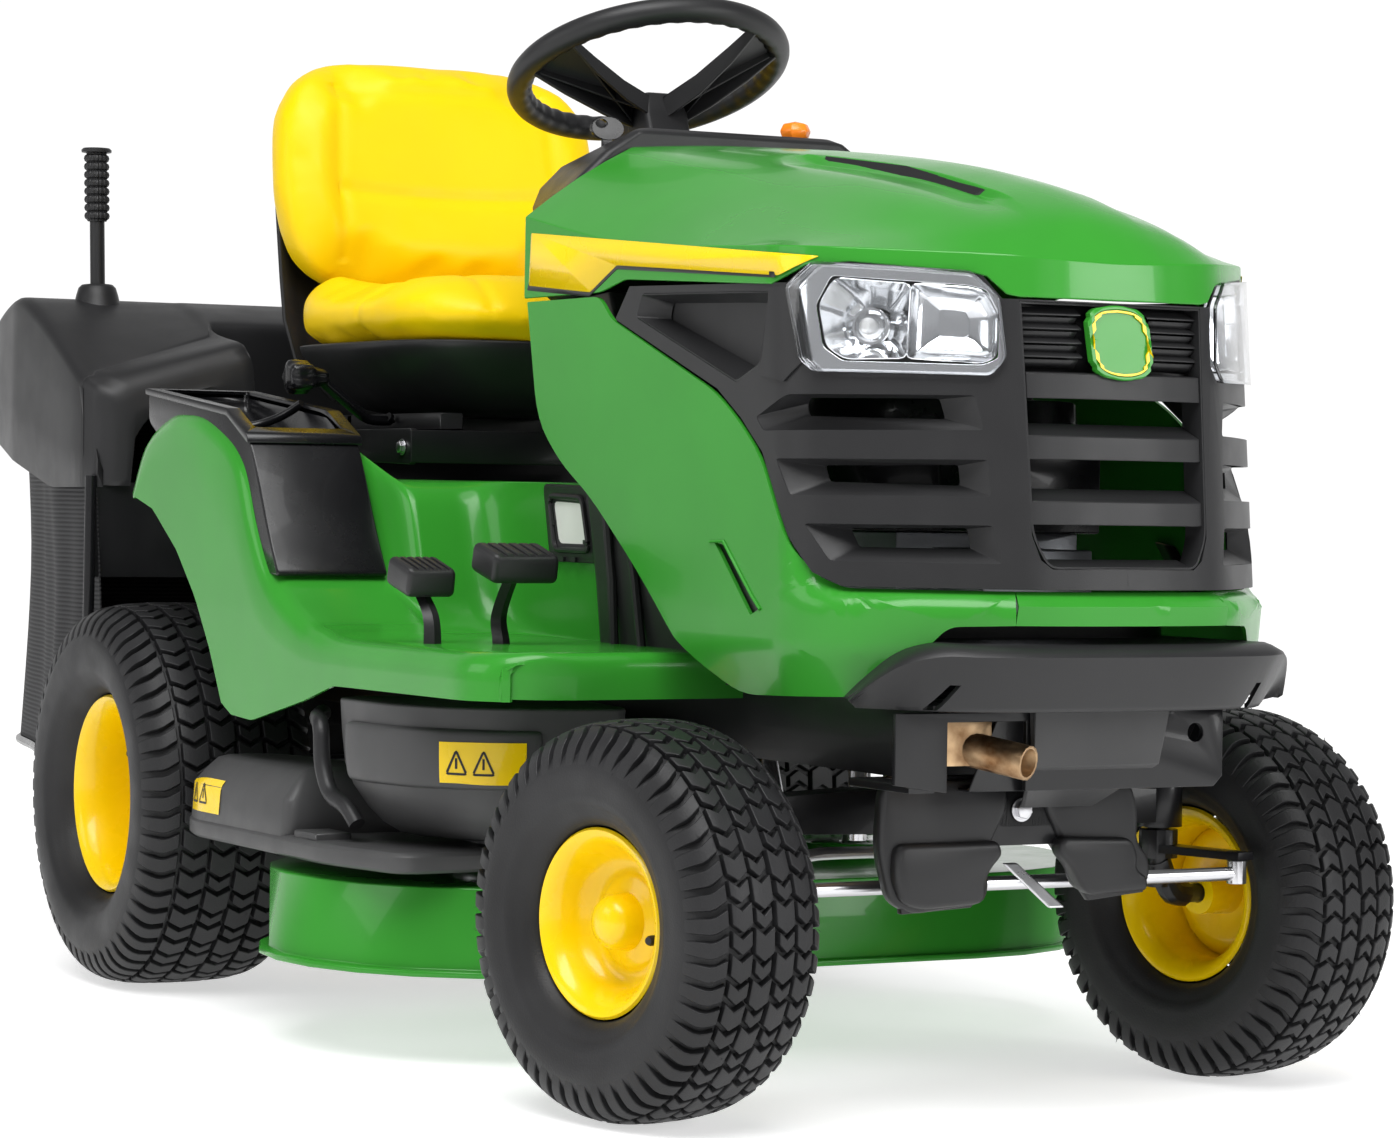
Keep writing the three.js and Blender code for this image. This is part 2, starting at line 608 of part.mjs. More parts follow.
function steeringParts() {
  const head = new THREE.Group();
  head.position.set(0, WHEEL_HUB.y, WHEEL_HUB.z);
  head.rotation.x = -rad(COLUMN_TILT);
  machine.add(head);
  part("steering_wheel", steeringWheel(), FINISH.black, head);
  const shaftEnd = (WHEEL_HUB.z - 244) / Math.cos(rad(COLUMN_TILT));
  const shaft = join(
    bar([0, 0, -shaftEnd], [0, 0, -51], 9, 12),
    bar([0, 0, -shaftEnd], [0, 0, -shaftEnd + 26], PINION_R - 3, 16),
  );
  part("steering_shaft", shaft, FINISH.steel, head);

  // The sector turns about a vertical pin, with an arm ahead of it and an arc window for the pinion.
  const sector = new THREE.Group();
  sector.position.set(0, SECTOR_Y, 0);
  sector.rotation.z = rad(STEER_REST);
  machine.add(sector);
  const arc = (radius, from, to, steps = 10) =>
    Array.from({ length: steps + 1 }, (_, i) => {
      const angle = rad(from + ((to - from) * i) / steps);
      return [radius * Math.cos(angle), radius * Math.sin(angle)];
    });
  const blank = prism("z", [...arc(SECTOR_R + 14, 38, 142), ...arc(30, 180, 360, 6)], 252, 258);
  const window = prism("z", [...arc(SECTOR_R + 1, 43, 137), ...arc(SECTOR_R - 2 * PINION_R - 6, 137, 43)], 240, 270);
  const lighten = prism("z", [...arc(SECTOR_R - 66, 60, 120, 5), ...arc(60, 112, 68, 4)], 240, 270);
  const arm = box(-14, 14, -STEER_ARM - 12, 0, 252, 258);
  const post = bar([0, 0, 240], [0, 0, 333.4], 10, 12);
  part("steering_sector", join(cut(blank, window, lighten), arm, post), FINISH.steel, sector);
}

// ---------- front axle, knuckles, links ----------
function turned(x, y, angle) {
  const group = new THREE.Group();
  group.position.set(x, y, 0);
  group.rotation.z = rad(angle);
  machine.add(group);
  return group;
}

function frontAxle() {
  const beam = prism("y", [[-236, 268], [-60, 264], [60, 264], [236, 268], [236, 302], [60, 310], [-60, 310], [-236, 302]], FRONT_Y - 22, FRONT_Y + 22);
  const hub = bar([0, FRONT_Y - 26, AXLE_Z], [0, FRONT_Y + 26, AXLE_Z], 27, 18);
  const boss = bar([-KINGPIN_X, FRONT_Y, 262], [-KINGPIN_X, FRONT_Y, 308], 24, 16);
  const kingBore = bar([-KINGPIN_X, FRONT_Y, 240], [-KINGPIN_X, FRONT_Y, 330], 11.6, 16);
  const pinBore = bar([0, FRONT_Y - 60, AXLE_Z], [0, FRONT_Y + 60, AXLE_Z], 12.6, 16);
  return cut(join(beam, hub, boss, mirrored(boss)), kingBore, mirrored(kingBore), pinBore);
}

// side is -1 on the right and +1 on the left; the group sits on the kingpin.
function knuckle(side) {
  const z = FRONT_TYRE.radius;
  const out = side * (FRONT_TYRE.track - KINGPIN_X);
  const pin = bar([0, 0, 200], [0, 0, 322], 11, 16);
  const cap = bar([0, 0, 310], [0, 0, 318], 18, 12);
  const stub = bentBar([[0, 0, 228], [side * 8, 0, 212], [side * 22, 0, z + 3], [side * 40, 0, z]], 13, 10, 10);
  const spindle = bar([side * 34, 0, z], [out + side * 26, 0, z], 9.6, 16);
  const arm = prism("z", [[-15, 14], [15, 14], [11, -STEER_ARM - 12], [-11, -STEER_ARM - 12]], 236, 244);
  const washer = bar([0, 0, 230], [0, 0, 259], 20, 14);
  return join(pin, cap, stub, spindle, arm, washer);
}

function frontEnd() {
  part("front_axle_beam", frontAxle(), FINISH.frame);
  for (const [side, name] of [[-1, "right"], [1, "left"]]) {
    const group = turned(side * KINGPIN_X, FRONT_Y, STEER_REST);
    part("steering_knuckle_" + name, knuckle(side), FINISH.frame, group);
  }
  const armX = STEER_ARM * Math.sin(rad(STEER_REST));
  const armY = -STEER_ARM * Math.cos(rad(STEER_REST));
  const tieZ = 222;
  const tie = join(
    bar([-KINGPIN_X + armX, FRONT_Y + armY, tieZ], [KINGPIN_X + armX, FRONT_Y + armY, tieZ], 7, 12),
    bar([-KINGPIN_X + armX, FRONT_Y + armY, 212], [-KINGPIN_X + armX, FRONT_Y + armY, 235.4], 10, 12),
    bar([KINGPIN_X + armX, FRONT_Y + armY, 212], [KINGPIN_X + armX, FRONT_Y + armY, 235.4], 10, 12),
  );
  part("tie_rod", tie, FINISH.steel);
  const from = [-KINGPIN_X + armX, FRONT_Y + armY];
  const to = [armX, SECTOR_Y + armY];
  const drag = bentBar([[...from, 253], [from[0] + 45, from[1] + 30, 253], [to[0] - 60, to[1] - 40, 242], [...to, 240]], 6, 12, 8);
  const ball = bar([...from, 244.6], [...from, 261], 10, 12);
  const dragBall = bar([...to, 233], [...to, 246], 10, 12);
  part("drag_link", join(drag, ball, dragBall), FINISH.steel);
}

// ---------- wheels ----------
function tyre({ radius, width, rim, bead }) {
  const half = width / 2;
  const lip = half * RIM_LIP;
  const side = [
    [bead + 0.4, lip - 22],
    [bead + 0.4, lip - 9.5],
    [rim + 1.2, lip - 4],
    [rim + 6, lip + 10],
    [radius * 0.72, half],
    [radius * 0.88, half * 0.97],
    [radius * 0.96, half * 0.8],
    [radius, half * 0.42],
  ];
  const inside = [
    [radius * 0.93, half * 0.6],
    [radius * 0.72, half * 0.8],
  ];
  const mirror = (points) => points.map(([r, x]) => [r, -x]).reverse();
  return wheelTurned([...side, ...mirror(side), ...mirror(inside).reverse(), ...inside, side[0]], WHEEL_SIDES);
}

// The dish faces -X, which is outwards on the right-hand side.
function rim({ width, rim: flange, bead }, dish, bore, hubHalf) {
  const half = width / 2;
  const lip = half * RIM_LIP;
  const profile = [
    [flange - 6, -lip - 4],
    [flange, -lip],
    [flange - 2, -lip + 3],
    [bead, -lip + 8],
    [bead, lip - 8],
    [flange - 2, lip - 3],
    [flange, lip],
    [flange - 6, lip + 4],
    [bead - 5, lip - 6],
    [bead - 5, dish + 8],
    [bead * 0.5, dish + 18],
    [26, dish + 14],
    [26, hubHalf],
    [bore, hubHalf],
    [bore, -hubHalf],
    [26, -hubHalf],
    [26, dish + 8],
    [bead * 0.5, dish + 12],
    [bead - 12, dish],
    [bead - 5, -lip + 6],
    [flange - 6, -lip - 4],
  ];
  return wheelTurned(profile, WHEEL_SIDES);
}

function wheelParts() {
  for (const [side, name] of [[-1, "right"], [1, "left"]]) {
    const flip = side > 0 ? mirrored : (made) => made;
    const reach = side * (FRONT_TYRE.track - KINGPIN_X);
    const steer = turned(side * KINGPIN_X, FRONT_Y, STEER_REST);
    const place = new THREE.Group();
    place.position.set(reach, 0, FRONT_TYRE.radius);
    steer.add(place);
    part("front_tyre_" + name, flip(tyre(FRONT_TYRE)), FINISH.rubber, place);
    const frontRim = join(
      rim(FRONT_TYRE, -18, 10, 36),
      bar([-52, 0, 0], [-30, 0, 0], 20, 16, 26),
    );
    part("front_rim_" + name, flip(frontRim), FINISH.yellow, place);

    const rear = turned(side * REAR_TYRE.track, REAR_Y, 0);
    const high = new THREE.Group();
    high.position.z = REAR_TYRE.radius;
    rear.add(high);
    part("rear_tyre_" + name, flip(tyre(REAR_TYRE)), FINISH.rubber, high);
    const axle = bar([-62, 0, 0], [REAR_TYRE.track - 156, 0, 0], 10, 16);
    part("rear_rim_" + name, flip(join(rim(REAR_TYRE, 14, 9, 60), axle)), FINISH.yellow, high);
  }
}

// ---------- cutter deck ----------
function stadium(halfLength, radius, steps = 12) {
  const right = Array.from({ length: steps + 1 }, (_, i) => {
    const angle = rad(-90 + (180 * i) / steps);
    return [halfLength + radius * Math.cos(angle), DECK_Y + radius * Math.sin(angle)];
  });
  return [...right, ...right.map(([x, y]) => [-x, 2 * DECK_Y - y])];
}

function deckParts() {
  const rise = 92;
  const skirt = prism("z", stadium(BLADE_X, 252), DECK_Z, DECK_Z + rise);
  const lip = prism("z", stadium(BLADE_X + 4, 259), DECK_Z, DECK_Z + 7);
  const room = prism("z", stadium(BLADE_X, 248), DECK_Z - 5, DECK_Z + rise - 4);
  const outlet = box(-118, 118, 200, 310, DECK_Z + 30, DECK_Z + rise - 4);
  const duct = cut(
    box(-122, 122, 180, 308, DECK_Z + 26, DECK_Z + rise),
    box(-118, 118, 150, 320, DECK_Z + 30, DECK_Z + rise - 4),
    prism("z", stadium(BLADE_X, 248), DECK_Z, DECK_Z + rise - 4),
  );
  const spindleHoles = [-BLADE_X, BLADE_X].map((x) => bar([x, DECK_Y, 100], [x, DECK_Y, 260], 16, 16));
  const drumTop = bar([-BLADE_X, DECK_Y, DECK_Z + rise - 4], [-BLADE_X, DECK_Y, DECK_Z + rise + 14], 60, 18);
  const bosses = join(drumTop, mirrored(drumTop));
  const shell = cut(join(skirt, lip, bosses), room, outlet, ...spindleHoles);
  part("mower_deck", join(shell, duct), FINISH.green);

  const housingPlan = (inset) => [
    [-438 + inset, -36 - inset],
    [-438 + inset, -150],
    [-418 + inset, -232 + inset],
    [-360 + inset / 2, -288 + inset],
    [-280, -316 + inset],
    [-222 - inset, -318 + inset],
    [-172 - inset, -36 - inset],
  ];
  const housingSide = [[0, 400], [0, 292], [-60, 282], [-84, 250], [-120, 234], [-290, 232], [-400, 232], [-400, 400]];
  const housing = common(prism("z", housingPlan(0), 200, 375), prism("x", housingSide, -500, 0));
  const housingRoom = prism("z", housingPlan(5), 190, 370);
  part("belt_housing", cut(housing, housingRoom), FINISH.plastic);
  const sideOutline = [[330, 200], [316, 262], [200, 292], [40, 300], [-4, 296], [-22, 226], [-236, 222], [-240, 200]];
  const sidePlan = [[-480, 250], [-458, 326], [-360, 330], [-300, 200], [-300, -236], [-440, -240], [-472, -100]];
  const coverBlock = common(prism("x", sideOutline, -500, 0), prism("z", sidePlan, 100, 400));
  const coverRoom = common(
    prism("x", sideOutline.map(([y, z]) => [y * 0.98, z - 5]), -500, 0),
    prism("z", sidePlan.map(([x, y]) => [(x + 390) * 0.93 - 390, (y - 45) * 0.98 + 45]), 100, 400),
  );
  part("belt_cover", cut(coverBlock, coverRoom), FINISH.plastic);

  for (const [x, name, angle] of [[-BLADE_X, "right", 0], [BLADE_X, "left", 90]]) {
    const spin = turned(x, DECK_Y, angle);
    const blank = box(-BLADE_L, BLADE_L, -26, 26, 122, 126);
    const liftWing = prism("x", [[26, 126], [8, 126], [26, 142], [30, 140]], -BLADE_L, -BLADE_L + 90);
    const otherWing = liftWing.rotate([0, 0, 180]);
    const post = bar([0, 0, 118], [0, 0, 238], 14, 16);
    const pulley = bar([0, 0, 212], [0, 0, 232], 52, 24);
    part("blade_" + name, join(blank, liftWing, otherWing, post, pulley), FINISH.steel, spin);
  }
}

// ---------- seat ----------
function seatParts() {
  const arms = [-206, 198].map((x) => prism("x", [[272, 622], [600, 630], [600, 660], [272, 664]], x, x + 8));
  const plate = box(-206, 206, 272, 600, 656, 662);
  const lip = box(-206, 206, 268, 272, 624, 662);
  const hollow = box(-150, 150, 330, 540, 640, 680);
  part("seat_hinge_plate", cut(join(...arms, plate, lip), hollow), FINISH.frame);
  const slider = join(box(-160, -130, 290, 590, 663, 682), box(130, 160, 290, 590, 663, 682), box(-160, 160, 545, 560, 663, 682));
  const panBlock = loft([
    [[-120, 300, 682], [120, 300, 682], [120, 600, 682], [-120, 600, 682]],
    [[-190, 230, 722], [190, 230, 722], [190, 655, 722], [-190, 655, 722]],
    [[-216, 206, 752], [216, 206, 752], [216, 668, 752], [-216, 668, 752]],
  ]);
  const backShell = prism("x", [[650, 700], [668, 752], [690, 840], [742, 1120], [748, 1120], [700, 840], [682, 752], [664, 700]], -200, 200);
  part("seat_pan", join(slider, panBlock, backShell, box(-180, 180, 640, 676, 722, 752)), FINISH.black);
  const cushion = loft([
    [[-212, 200, 753], [212, 200, 753], [212, 648, 753], [-212, 648, 753]],
    [[-226, 188, 785], [226, 188, 785], [226, 660, 785], [-226, 660, 785]],
    [[-210, 204, 824], [210, 204, 824], [205, 650, 824], [-205, 650, 824]],
  ]);
  const backSlope = prism("x", [[600, 740], [668, 750], [690, 850], [700, 900], [1000, 900], [1000, 700]], -300, 300);
  const latch = join(
    bar([-161, 415, 672], [-196, 415, 672], 6, 10),
    bar([-192, 417, 672], [-284, 385, 710], 6, 10),
    bar([-278, 385, 711], [-312, 385, 713], 13, 12, 15),
  );
  part("seat_latch", latch, FINISH.black);
  part("seat_cushion", cut(cushion, moved(backSlope, 0, -6, 0)), FINISH.vinyl);
  const lean = (z) => (z - 836) * 0.186;
  const slab = (z, half, front, back) => {
    const y = 598 + lean(z);
    return [[-half, y + front, z], [half, y + front, z], [half, y + back, z], [-half, y + back, z]];
  };
  const rest = loft([slab(836, 180, 26, 84), slab(880, 208, 4, 88), slab(960, 216, 8, 88), slab(1070, 206, 16, 86), slab(1124, 180, 34, 82)]);
  part("seat_backrest", rest, FINISH.vinyl);
}

// ---------- controls ----------
function pedal(x, y, padHalf, padY, padZ) {
  const stem = bentBar([[x, y, 404], [x, y - 2, 440], [x, y + 8, 474], [x, padY, padZ - 10]], 6.5, 10, 8);
  const lean = [[padY - 34, padZ - 14], [padY + 34, padZ - 4], [padY + 30, padZ + 16], [padY - 30, padZ + 10]];
  return join(stem, prism("x", lean, x - padHalf, x + padHalf), bar([x - 20, y, 404], [x + 20, y, 404], 10, 12));
}

function controlParts() {
  part("forward_pedal", pedal(-320, -214, 36, -244, 520), FINISH.black);
  part("reverse_pedal", pedal(-394, -206, 26, -176, 504), FINISH.black);
  part("brake_pedal", pedal(326, -214, 40, -246, 524), FINISH.black);
  const knob = join(
    bar([SWITCH.x, SWITCH.y, 956], [SWITCH.x, SWITCH.y, 988], 6, 10),
    bar([SWITCH.x, SWITCH.y, 986], [SWITCH.x, SWITCH.y, 1004], 17, 12, 20),
  );
  part("blade_switch_knob", knob, FINISH.orange);
  const key = join(
    bar([KEY.x, KEY.y, 930], [KEY.x, KEY.y, 978], 6, 10),
    box(KEY.x - 14, KEY.x + 14, KEY.y - 3, KEY.y + 3, 976, 1000),
  );
  part("ignition_key", key, FINISH.black);
  const throttle = join(
    box(THROTTLE.x - 2, THROTTLE.x + 2, THROTTLE.y - 8, THROTTLE.y + 8, 905, 985),
    bar([THROTTLE.x - 12, THROTTLE.y, 988], [THROTTLE.x + 12, THROTTLE.y, 988], 9, 10),
  );
  part("throttle_lever", throttle, FINISH.black);
  const lever = join(
    box(355, 363, 392, 416, 460, 720),
    bar([359, 404, 715], [359, 404, 800], 14, 12),
    bar([345, 404, 468], [373, 404, 468], 16, 14),
  );
  part("height_lever", lever, FINISH.black);
}

// ---------- hopper ----------
function hopperPlan(inset, low, high) {
  const { front, halfFront, halfRear } = HOPPER;
  return prism("z", [
    [-halfFront + inset, front - (inset ? 30 : 0)],
    [halfFront - inset, front - (inset ? 30 : 0)],
    [halfFront - inset, 900],
    [halfRear - inset, 1240],
    [halfRear - 110 - inset / 2, TAIL_Y - inset],
    [-halfRear + 110 + inset / 2, TAIL_Y - inset],
    [-halfRear + inset, 1240],
    [-halfFront + inset, 900],
  ], low, high);
}

function hopperParts() {
  const { front, floor, seam } = HOPPER;
  const arch = box(-500, -256, 600, 822, 0, 478);
  const archRoom = box(-500, -250, 600, 828, 0, 484);
  const skirt = cut(
    hopperPlan(18, floor, seam - GAP),
    cut(hopperPlan(24, floor + 6, seam + 20), box(-500, 500, 600, front + 18, 0, 640), archRoom, mirrored(archRoom)),
    box(-500, 500, 600, front + 12, 0, 800),
    arch,
    mirrored(arch),
  );
  const mouth = box(-118, 118, 600, front + 40, 366, 566);
  part("hopper_bag", cut(skirt, mouth), FINISH.fabric);

  const profile = [[front, seam], [front, 732], [front + 30, 752], [front + 130, 812], [960, 832], [1120, 812], [1270, 740], [TAIL_Y, 690], [TAIL_Y, seam]];
  const room = [[front - 40, seam - 20], [front - 40, 700], [front + 8, 726], [front + 136, 806], [960, 826], [1120, 806], [1266, 734], [TAIL_Y - 6, 686], [TAIL_Y - 6, seam - 20]];
  const outer = common(prism("x", profile, -500, 500), hopperPlan(0, seam, 900));
  const inner = common(prism("x", room, -500, 500), hopperPlan(6, seam - 20, 900));
  const seatNook = prism("z", [[-250, 600], [250, 600], [222, 862], [-222, 862]], 500, 900);
  const nookWall = common(outer, cut(prism("z", [[-256, 600], [256, 600], [228, 868], [-228, 868]], seam, 900), seatNook));
  const collar = bar([LEVER.x, LEVER.y, 806], [LEVER.x, LEVER.y + 3, 846], 34, 16, 22);
  const lean = rad(LEVER.lean) * 0.5;
  const up = (h) => [LEVER.x, LEVER.y + Math.sin(lean) * h * 0.8, LEVER.z + h];
  const leverBore = bar(up(-60), up(70), 11.5, 14);
  const cover = join(cut(outer, inner, seatNook), nookWall, cut(collar, inner));
  part("hopper_cover", cut(cover, leverBore), FINISH.plastic);

  const lever = join(bar(up(-160), up(200), 9.5, 14), bar(up(92), up(206), 14.5, 16, 17));
  part("dump_lever", cut(lever, box(-500, 0, 0, 2000, 1028, 1100)), FINISH.black);
}

const hood = new THREE.Group();
machine.add(hood);
hoodParts(hood);
chassisParts();
bodyParts();
steeringParts();
frontEnd();
wheelParts();
deckParts();
seatParts();
controlParts();
hopperParts();

export default machine;
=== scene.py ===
"""Looks of the riding lawn mower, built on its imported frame.

Lengths in this file are millimetres in the drawing's own frame: y = 0 is midway between the axles,
z = 0 is the ground, the machine faces -y and its right-hand side is -x. at() turns such a point into
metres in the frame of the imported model.
"""
import json
import math
import random

import bmesh
import bpy
from mathutils import Matrix, Vector


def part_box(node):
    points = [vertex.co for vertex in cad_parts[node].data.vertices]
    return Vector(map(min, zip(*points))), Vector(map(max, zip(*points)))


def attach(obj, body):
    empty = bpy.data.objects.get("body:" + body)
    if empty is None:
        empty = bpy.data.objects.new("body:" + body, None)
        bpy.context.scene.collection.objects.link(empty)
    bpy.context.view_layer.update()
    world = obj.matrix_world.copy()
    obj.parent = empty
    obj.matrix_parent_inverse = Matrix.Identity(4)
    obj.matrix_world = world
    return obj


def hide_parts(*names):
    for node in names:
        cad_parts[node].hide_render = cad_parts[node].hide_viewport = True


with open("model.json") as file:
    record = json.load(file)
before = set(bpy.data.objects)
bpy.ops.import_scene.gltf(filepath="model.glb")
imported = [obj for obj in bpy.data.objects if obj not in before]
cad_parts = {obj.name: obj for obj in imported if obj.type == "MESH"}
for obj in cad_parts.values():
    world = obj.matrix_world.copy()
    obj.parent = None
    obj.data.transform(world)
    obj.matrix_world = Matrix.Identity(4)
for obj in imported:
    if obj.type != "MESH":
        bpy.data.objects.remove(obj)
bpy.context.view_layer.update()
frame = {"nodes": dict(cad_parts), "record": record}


# ---------- places taken from the frame ----------
def middle(node):
    low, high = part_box(node)
    return (low + high) / 2


MM = 0.001
AXLES_MID_Y = (middle("front_axle_beam").y + middle("rear_rim_right").y) / 2
STEER_REST = math.radians(12)
RIGHT, LEFT = -1, 1
SIDES = ((RIGHT, "right"), (LEFT, "left"))
SLOT_OF = {entry["node"]: entry["material_slot"] for entry in frame["record"]["subparts"]}


def at(x, y, z):
    return Vector((x * MM, y * MM + AXLES_MID_Y, z * MM))


# ---------- materials ----------
def principled(name, color, roughness, metallic=0.0, coat=0.0, **sockets):
    material = bpy.data.materials.new(name)
    material.use_nodes = True
    shader = material.node_tree.nodes["Principled BSDF"]
    shader.inputs["Base Color"].default_value = (*color, 1)
    shader.inputs["Roughness"].default_value = roughness
    shader.inputs["Metallic"].default_value = metallic
    shader.inputs["Coat Weight"].default_value = coat
    shader.inputs["Coat Roughness"].default_value = 0.04
    for socket, value in sockets.items():
        shader.inputs[socket.replace("_", " ")].default_value = value
    return material, material.node_tree, shader


def noise(tree, scale, detail):
    coordinates = tree.nodes.new("ShaderNodeTexCoord")
    texture = tree.nodes.new("ShaderNodeTexNoise")
    texture.inputs["Scale"].default_value = scale
    texture.inputs["Detail"].default_value = detail
    tree.links.new(coordinates.outputs["Object"], texture.inputs["Vector"])
    return texture.outputs["Fac"]


def ramp(tree, factor, low, high, start=0.35, end=0.65):
    node = tree.nodes.new("ShaderNodeValToRGB")
    node.color_ramp.elements[0].position = start
    node.color_ramp.elements[1].position = end
    node.color_ramp.elements[0].color = low
    node.color_ramp.elements[1].color = high
    tree.links.new(factor, node.inputs["Fac"])
    return node.outputs["Color"]


def grey(value):
    return (value, value, value, 1)


def bump(tree, shader, height, strength, distance):
    node = tree.nodes.new("ShaderNodeBump")
    node.inputs["Strength"].default_value = strength
    node.inputs["Distance"].default_value = distance
    tree.links.new(height, node.inputs["Height"])
    tree.links.new(node.outputs["Normal"], shader.inputs["Normal"])


def shade(color, factor):
    return tuple(min(1.0, channel * factor) for channel in color) + (1,)


def surface(
    name, color, roughness, metallic=0.0, coat=0.0, grain=(600, 0.08, 0.0004), mottle=0.08, gloss=0.1,
    **sockets,
):
    """A finish with slow colour variation, uneven gloss and a fine grain of (scale, strength, depth)."""
    material, tree, shader = principled(name, color, roughness, metallic, coat, **sockets)
    colour = ramp(tree, noise(tree, 7, 3), shade(color, 1 - mottle), shade(color, 1 + mottle))
    tree.links.new(colour, shader.inputs["Base Color"])
    sheen = ramp(
        tree, noise(tree, 24, 5), grey(roughness * (1 - gloss)), grey(min(1, roughness * (1 + gloss))),
    )
    tree.links.new(sheen, shader.inputs["Roughness"])
    scale, strength, depth = grain
    bump(tree, shader, noise(tree, scale, 2), strength, depth)
    return material


def heat_tinted(name):
    """Bare steel browned unevenly by exhaust heat."""
    material, tree, shader = principled(name, (0.4, 0.26, 0.13), 0.4, metallic=1.0)
    colour = ramp(tree, noise(tree, 34, 5), (0.16, 0.075, 0.03, 1), (0.62, 0.44, 0.26, 1), 0.3, 0.7)
    tree.links.new(colour, shader.inputs["Base Color"])
    tree.links.new(ramp(tree, noise(tree, 60, 4), grey(0.28), grey(0.6)), shader.inputs["Roughness"])
    bump(tree, shader, noise(tree, 300, 3), 0.25, 0.0005)
    return material


def woven_mesh(name):
    """Black ribbed mesh cloth: level ribs with a fine grain across them."""
    material, tree, shader = principled(name, (0.02, 0.02, 0.022), 0.7, Specular_IOR_Level=0.3)
    coordinates = tree.nodes.new("ShaderNodeTexCoord")
    ribs = tree.nodes.new("ShaderNodeTexWave")
    ribs.bands_direction = "Z"
    ribs.inputs["Scale"].default_value = 57
    ribs.inputs["Distortion"].default_value = 0
    tree.links.new(coordinates.outputs["Object"], ribs.inputs["Vector"])
    weave = tree.nodes.new("ShaderNodeMath")
    weave.operation = "MULTIPLY_ADD"
    tree.links.new(noise(tree, 700, 2), weave.inputs[0])
    weave.inputs[1].default_value = 0.5
    tree.links.new(ribs.outputs["Fac"], weave.inputs[2])
    colour = ramp(tree, weave.outputs[0], (0.004, 0.004, 0.005, 1), (0.03, 0.03, 0.032, 1), 0.2, 1.0)
    tree.links.new(colour, shader.inputs["Base Color"])
    bump(tree, shader, weave.outputs[0], 0.6, 0.0012)
    return material


def clear_lens(name):
    material, tree, shader = principled(name, (0.97, 0.98, 1.0), 0.03, Transmission_Weight=1.0, IOR=1.42)
    tree.links.new(ramp(tree, noise(tree, 40, 2), grey(0.02), grey(0.05)), shader.inputs["Roughness"])
    bump(tree, shader, noise(tree, 30, 1), 0.05, 0.0005)
    return material


GREEN = (0.03, 0.245, 0.022)
YELLOW = (0.86, 0.58, 0.0)
SURFACES = {
    "green_paint": dict(
        color=GREEN, roughness=0.24, coat=0.2, Specular_IOR_Level=0.22, grain=(90, 0.04, 0.0005),
        mottle=0.04,
    ),
    "yellow_paint": dict(
        color=YELLOW, roughness=0.28, coat=0.3, Specular_IOR_Level=0.25, grain=(120, 0.05, 0.0004),
        mottle=0.02,
    ),
    "black_gloss": dict(
        color=(0.006, 0.006, 0.007), roughness=0.26, coat=0.12, grain=(900, 0.12, 0.0003),
        Specular_IOR_Level=0.35,
    ),
    "black_plastic": dict(
        color=(0.016, 0.016, 0.017), roughness=0.4, grain=(1300, 0.35, 0.0004), mottle=0.06, gloss=0.06,
        Specular_IOR_Level=0.32,
    ),
    "frame_paint": dict(
        color=(0.007, 0.007, 0.008), roughness=0.34, coat=0.1, grain=(240, 0.15, 0.0005),
        Specular_IOR_Level=0.32,
    ),
    "tyre_rubber": dict(
        color=(0.012, 0.012, 0.013), roughness=0.5, grain=(500, 0.35, 0.0007), mottle=0.3,
        Specular_IOR_Level=0.32,
    ),
    "zinc_steel": dict(color=(0.6, 0.6, 0.62), roughness=0.3, metallic=1.0, grain=(500, 0.1, 0.0003)),
    "cast_metal": dict(color=(0.3, 0.31, 0.33), roughness=0.5, metallic=0.8, grain=(300, 0.4, 0.0008)),
    "seat_vinyl": dict(
        color=YELLOW, roughness=0.42, grain=(520, 0.2, 0.0005), mottle=0.02, Specular_IOR_Level=0.22,
    ),
    "tank_plastic": dict(color=(0.78, 0.78, 0.75), roughness=0.42, grain=(200, 0.1, 0.0004)),
    "orange_plastic": dict(color=(0.95, 0.24, 0.01), roughness=0.32, grain=(300, 0.08, 0.0003)),
    "chrome": dict(
        color=(0.86, 0.87, 0.88), roughness=0.12, metallic=1.0, grain=(60, 0.05, 0.0004), mottle=0.03,
    ),
    # Grey-black plastic of the belt housing, belt cover and chin plate, lighter than black_plastic: partly
    # the plastic's own grey, partly painted light where the top light falls on these parts.
    "grey_plastic_painted_light": dict(
        color=(0.05, 0.05, 0.051), roughness=0.46, grain=(1100, 0.3, 0.0004), mottle=0.12,
        Specular_IOR_Level=0.32,
    ),
    "deep_black": dict(color=(0.006, 0.006, 0.007), roughness=0.4, grain=(400, 0.1, 0.0004)),
    "bulb_glass": dict(color=(0.9, 0.9, 0.88), roughness=0.08, grain=(200, 0.1, 0.0003)),
}
FINISHES = {name: surface(name, **look) for name, look in SURFACES.items()}
FINISHES["hot_steel"] = heat_tinted("hot_steel")
FINISHES["lens"] = clear_lens("lens")
FINISHES["mesh_fabric"] = woven_mesh("mesh_fabric")


# ---------- making pieces ----------
def linked(name, data):
    """A new object in the scene for a mesh, a lamp or a camera."""
    made = bpy.data.objects.new(name, data)
    bpy.context.collection.objects.link(made)
    return made


def mesh_object(name, points, faces):
    mesh = bpy.data.meshes.new(name)
    mesh.from_pydata([at(*point) for point in points], [], faces)
    return linked(name, mesh)


def finished(name, bm):
    """The bmesh becomes an object."""
    mesh = bpy.data.meshes.new(name)
    bm.to_mesh(mesh)
    bm.free()
    return linked(name, mesh)


def face_outwards(piece):
    bm = bmesh.new()
    bm.from_mesh(piece.data)
    bmesh.ops.remove_doubles(bm, verts=bm.verts, dist=0.00001)
    bmesh.ops.recalc_face_normals(bm, faces=bm.faces)
    bm.to_mesh(piece.data)
    bm.free()


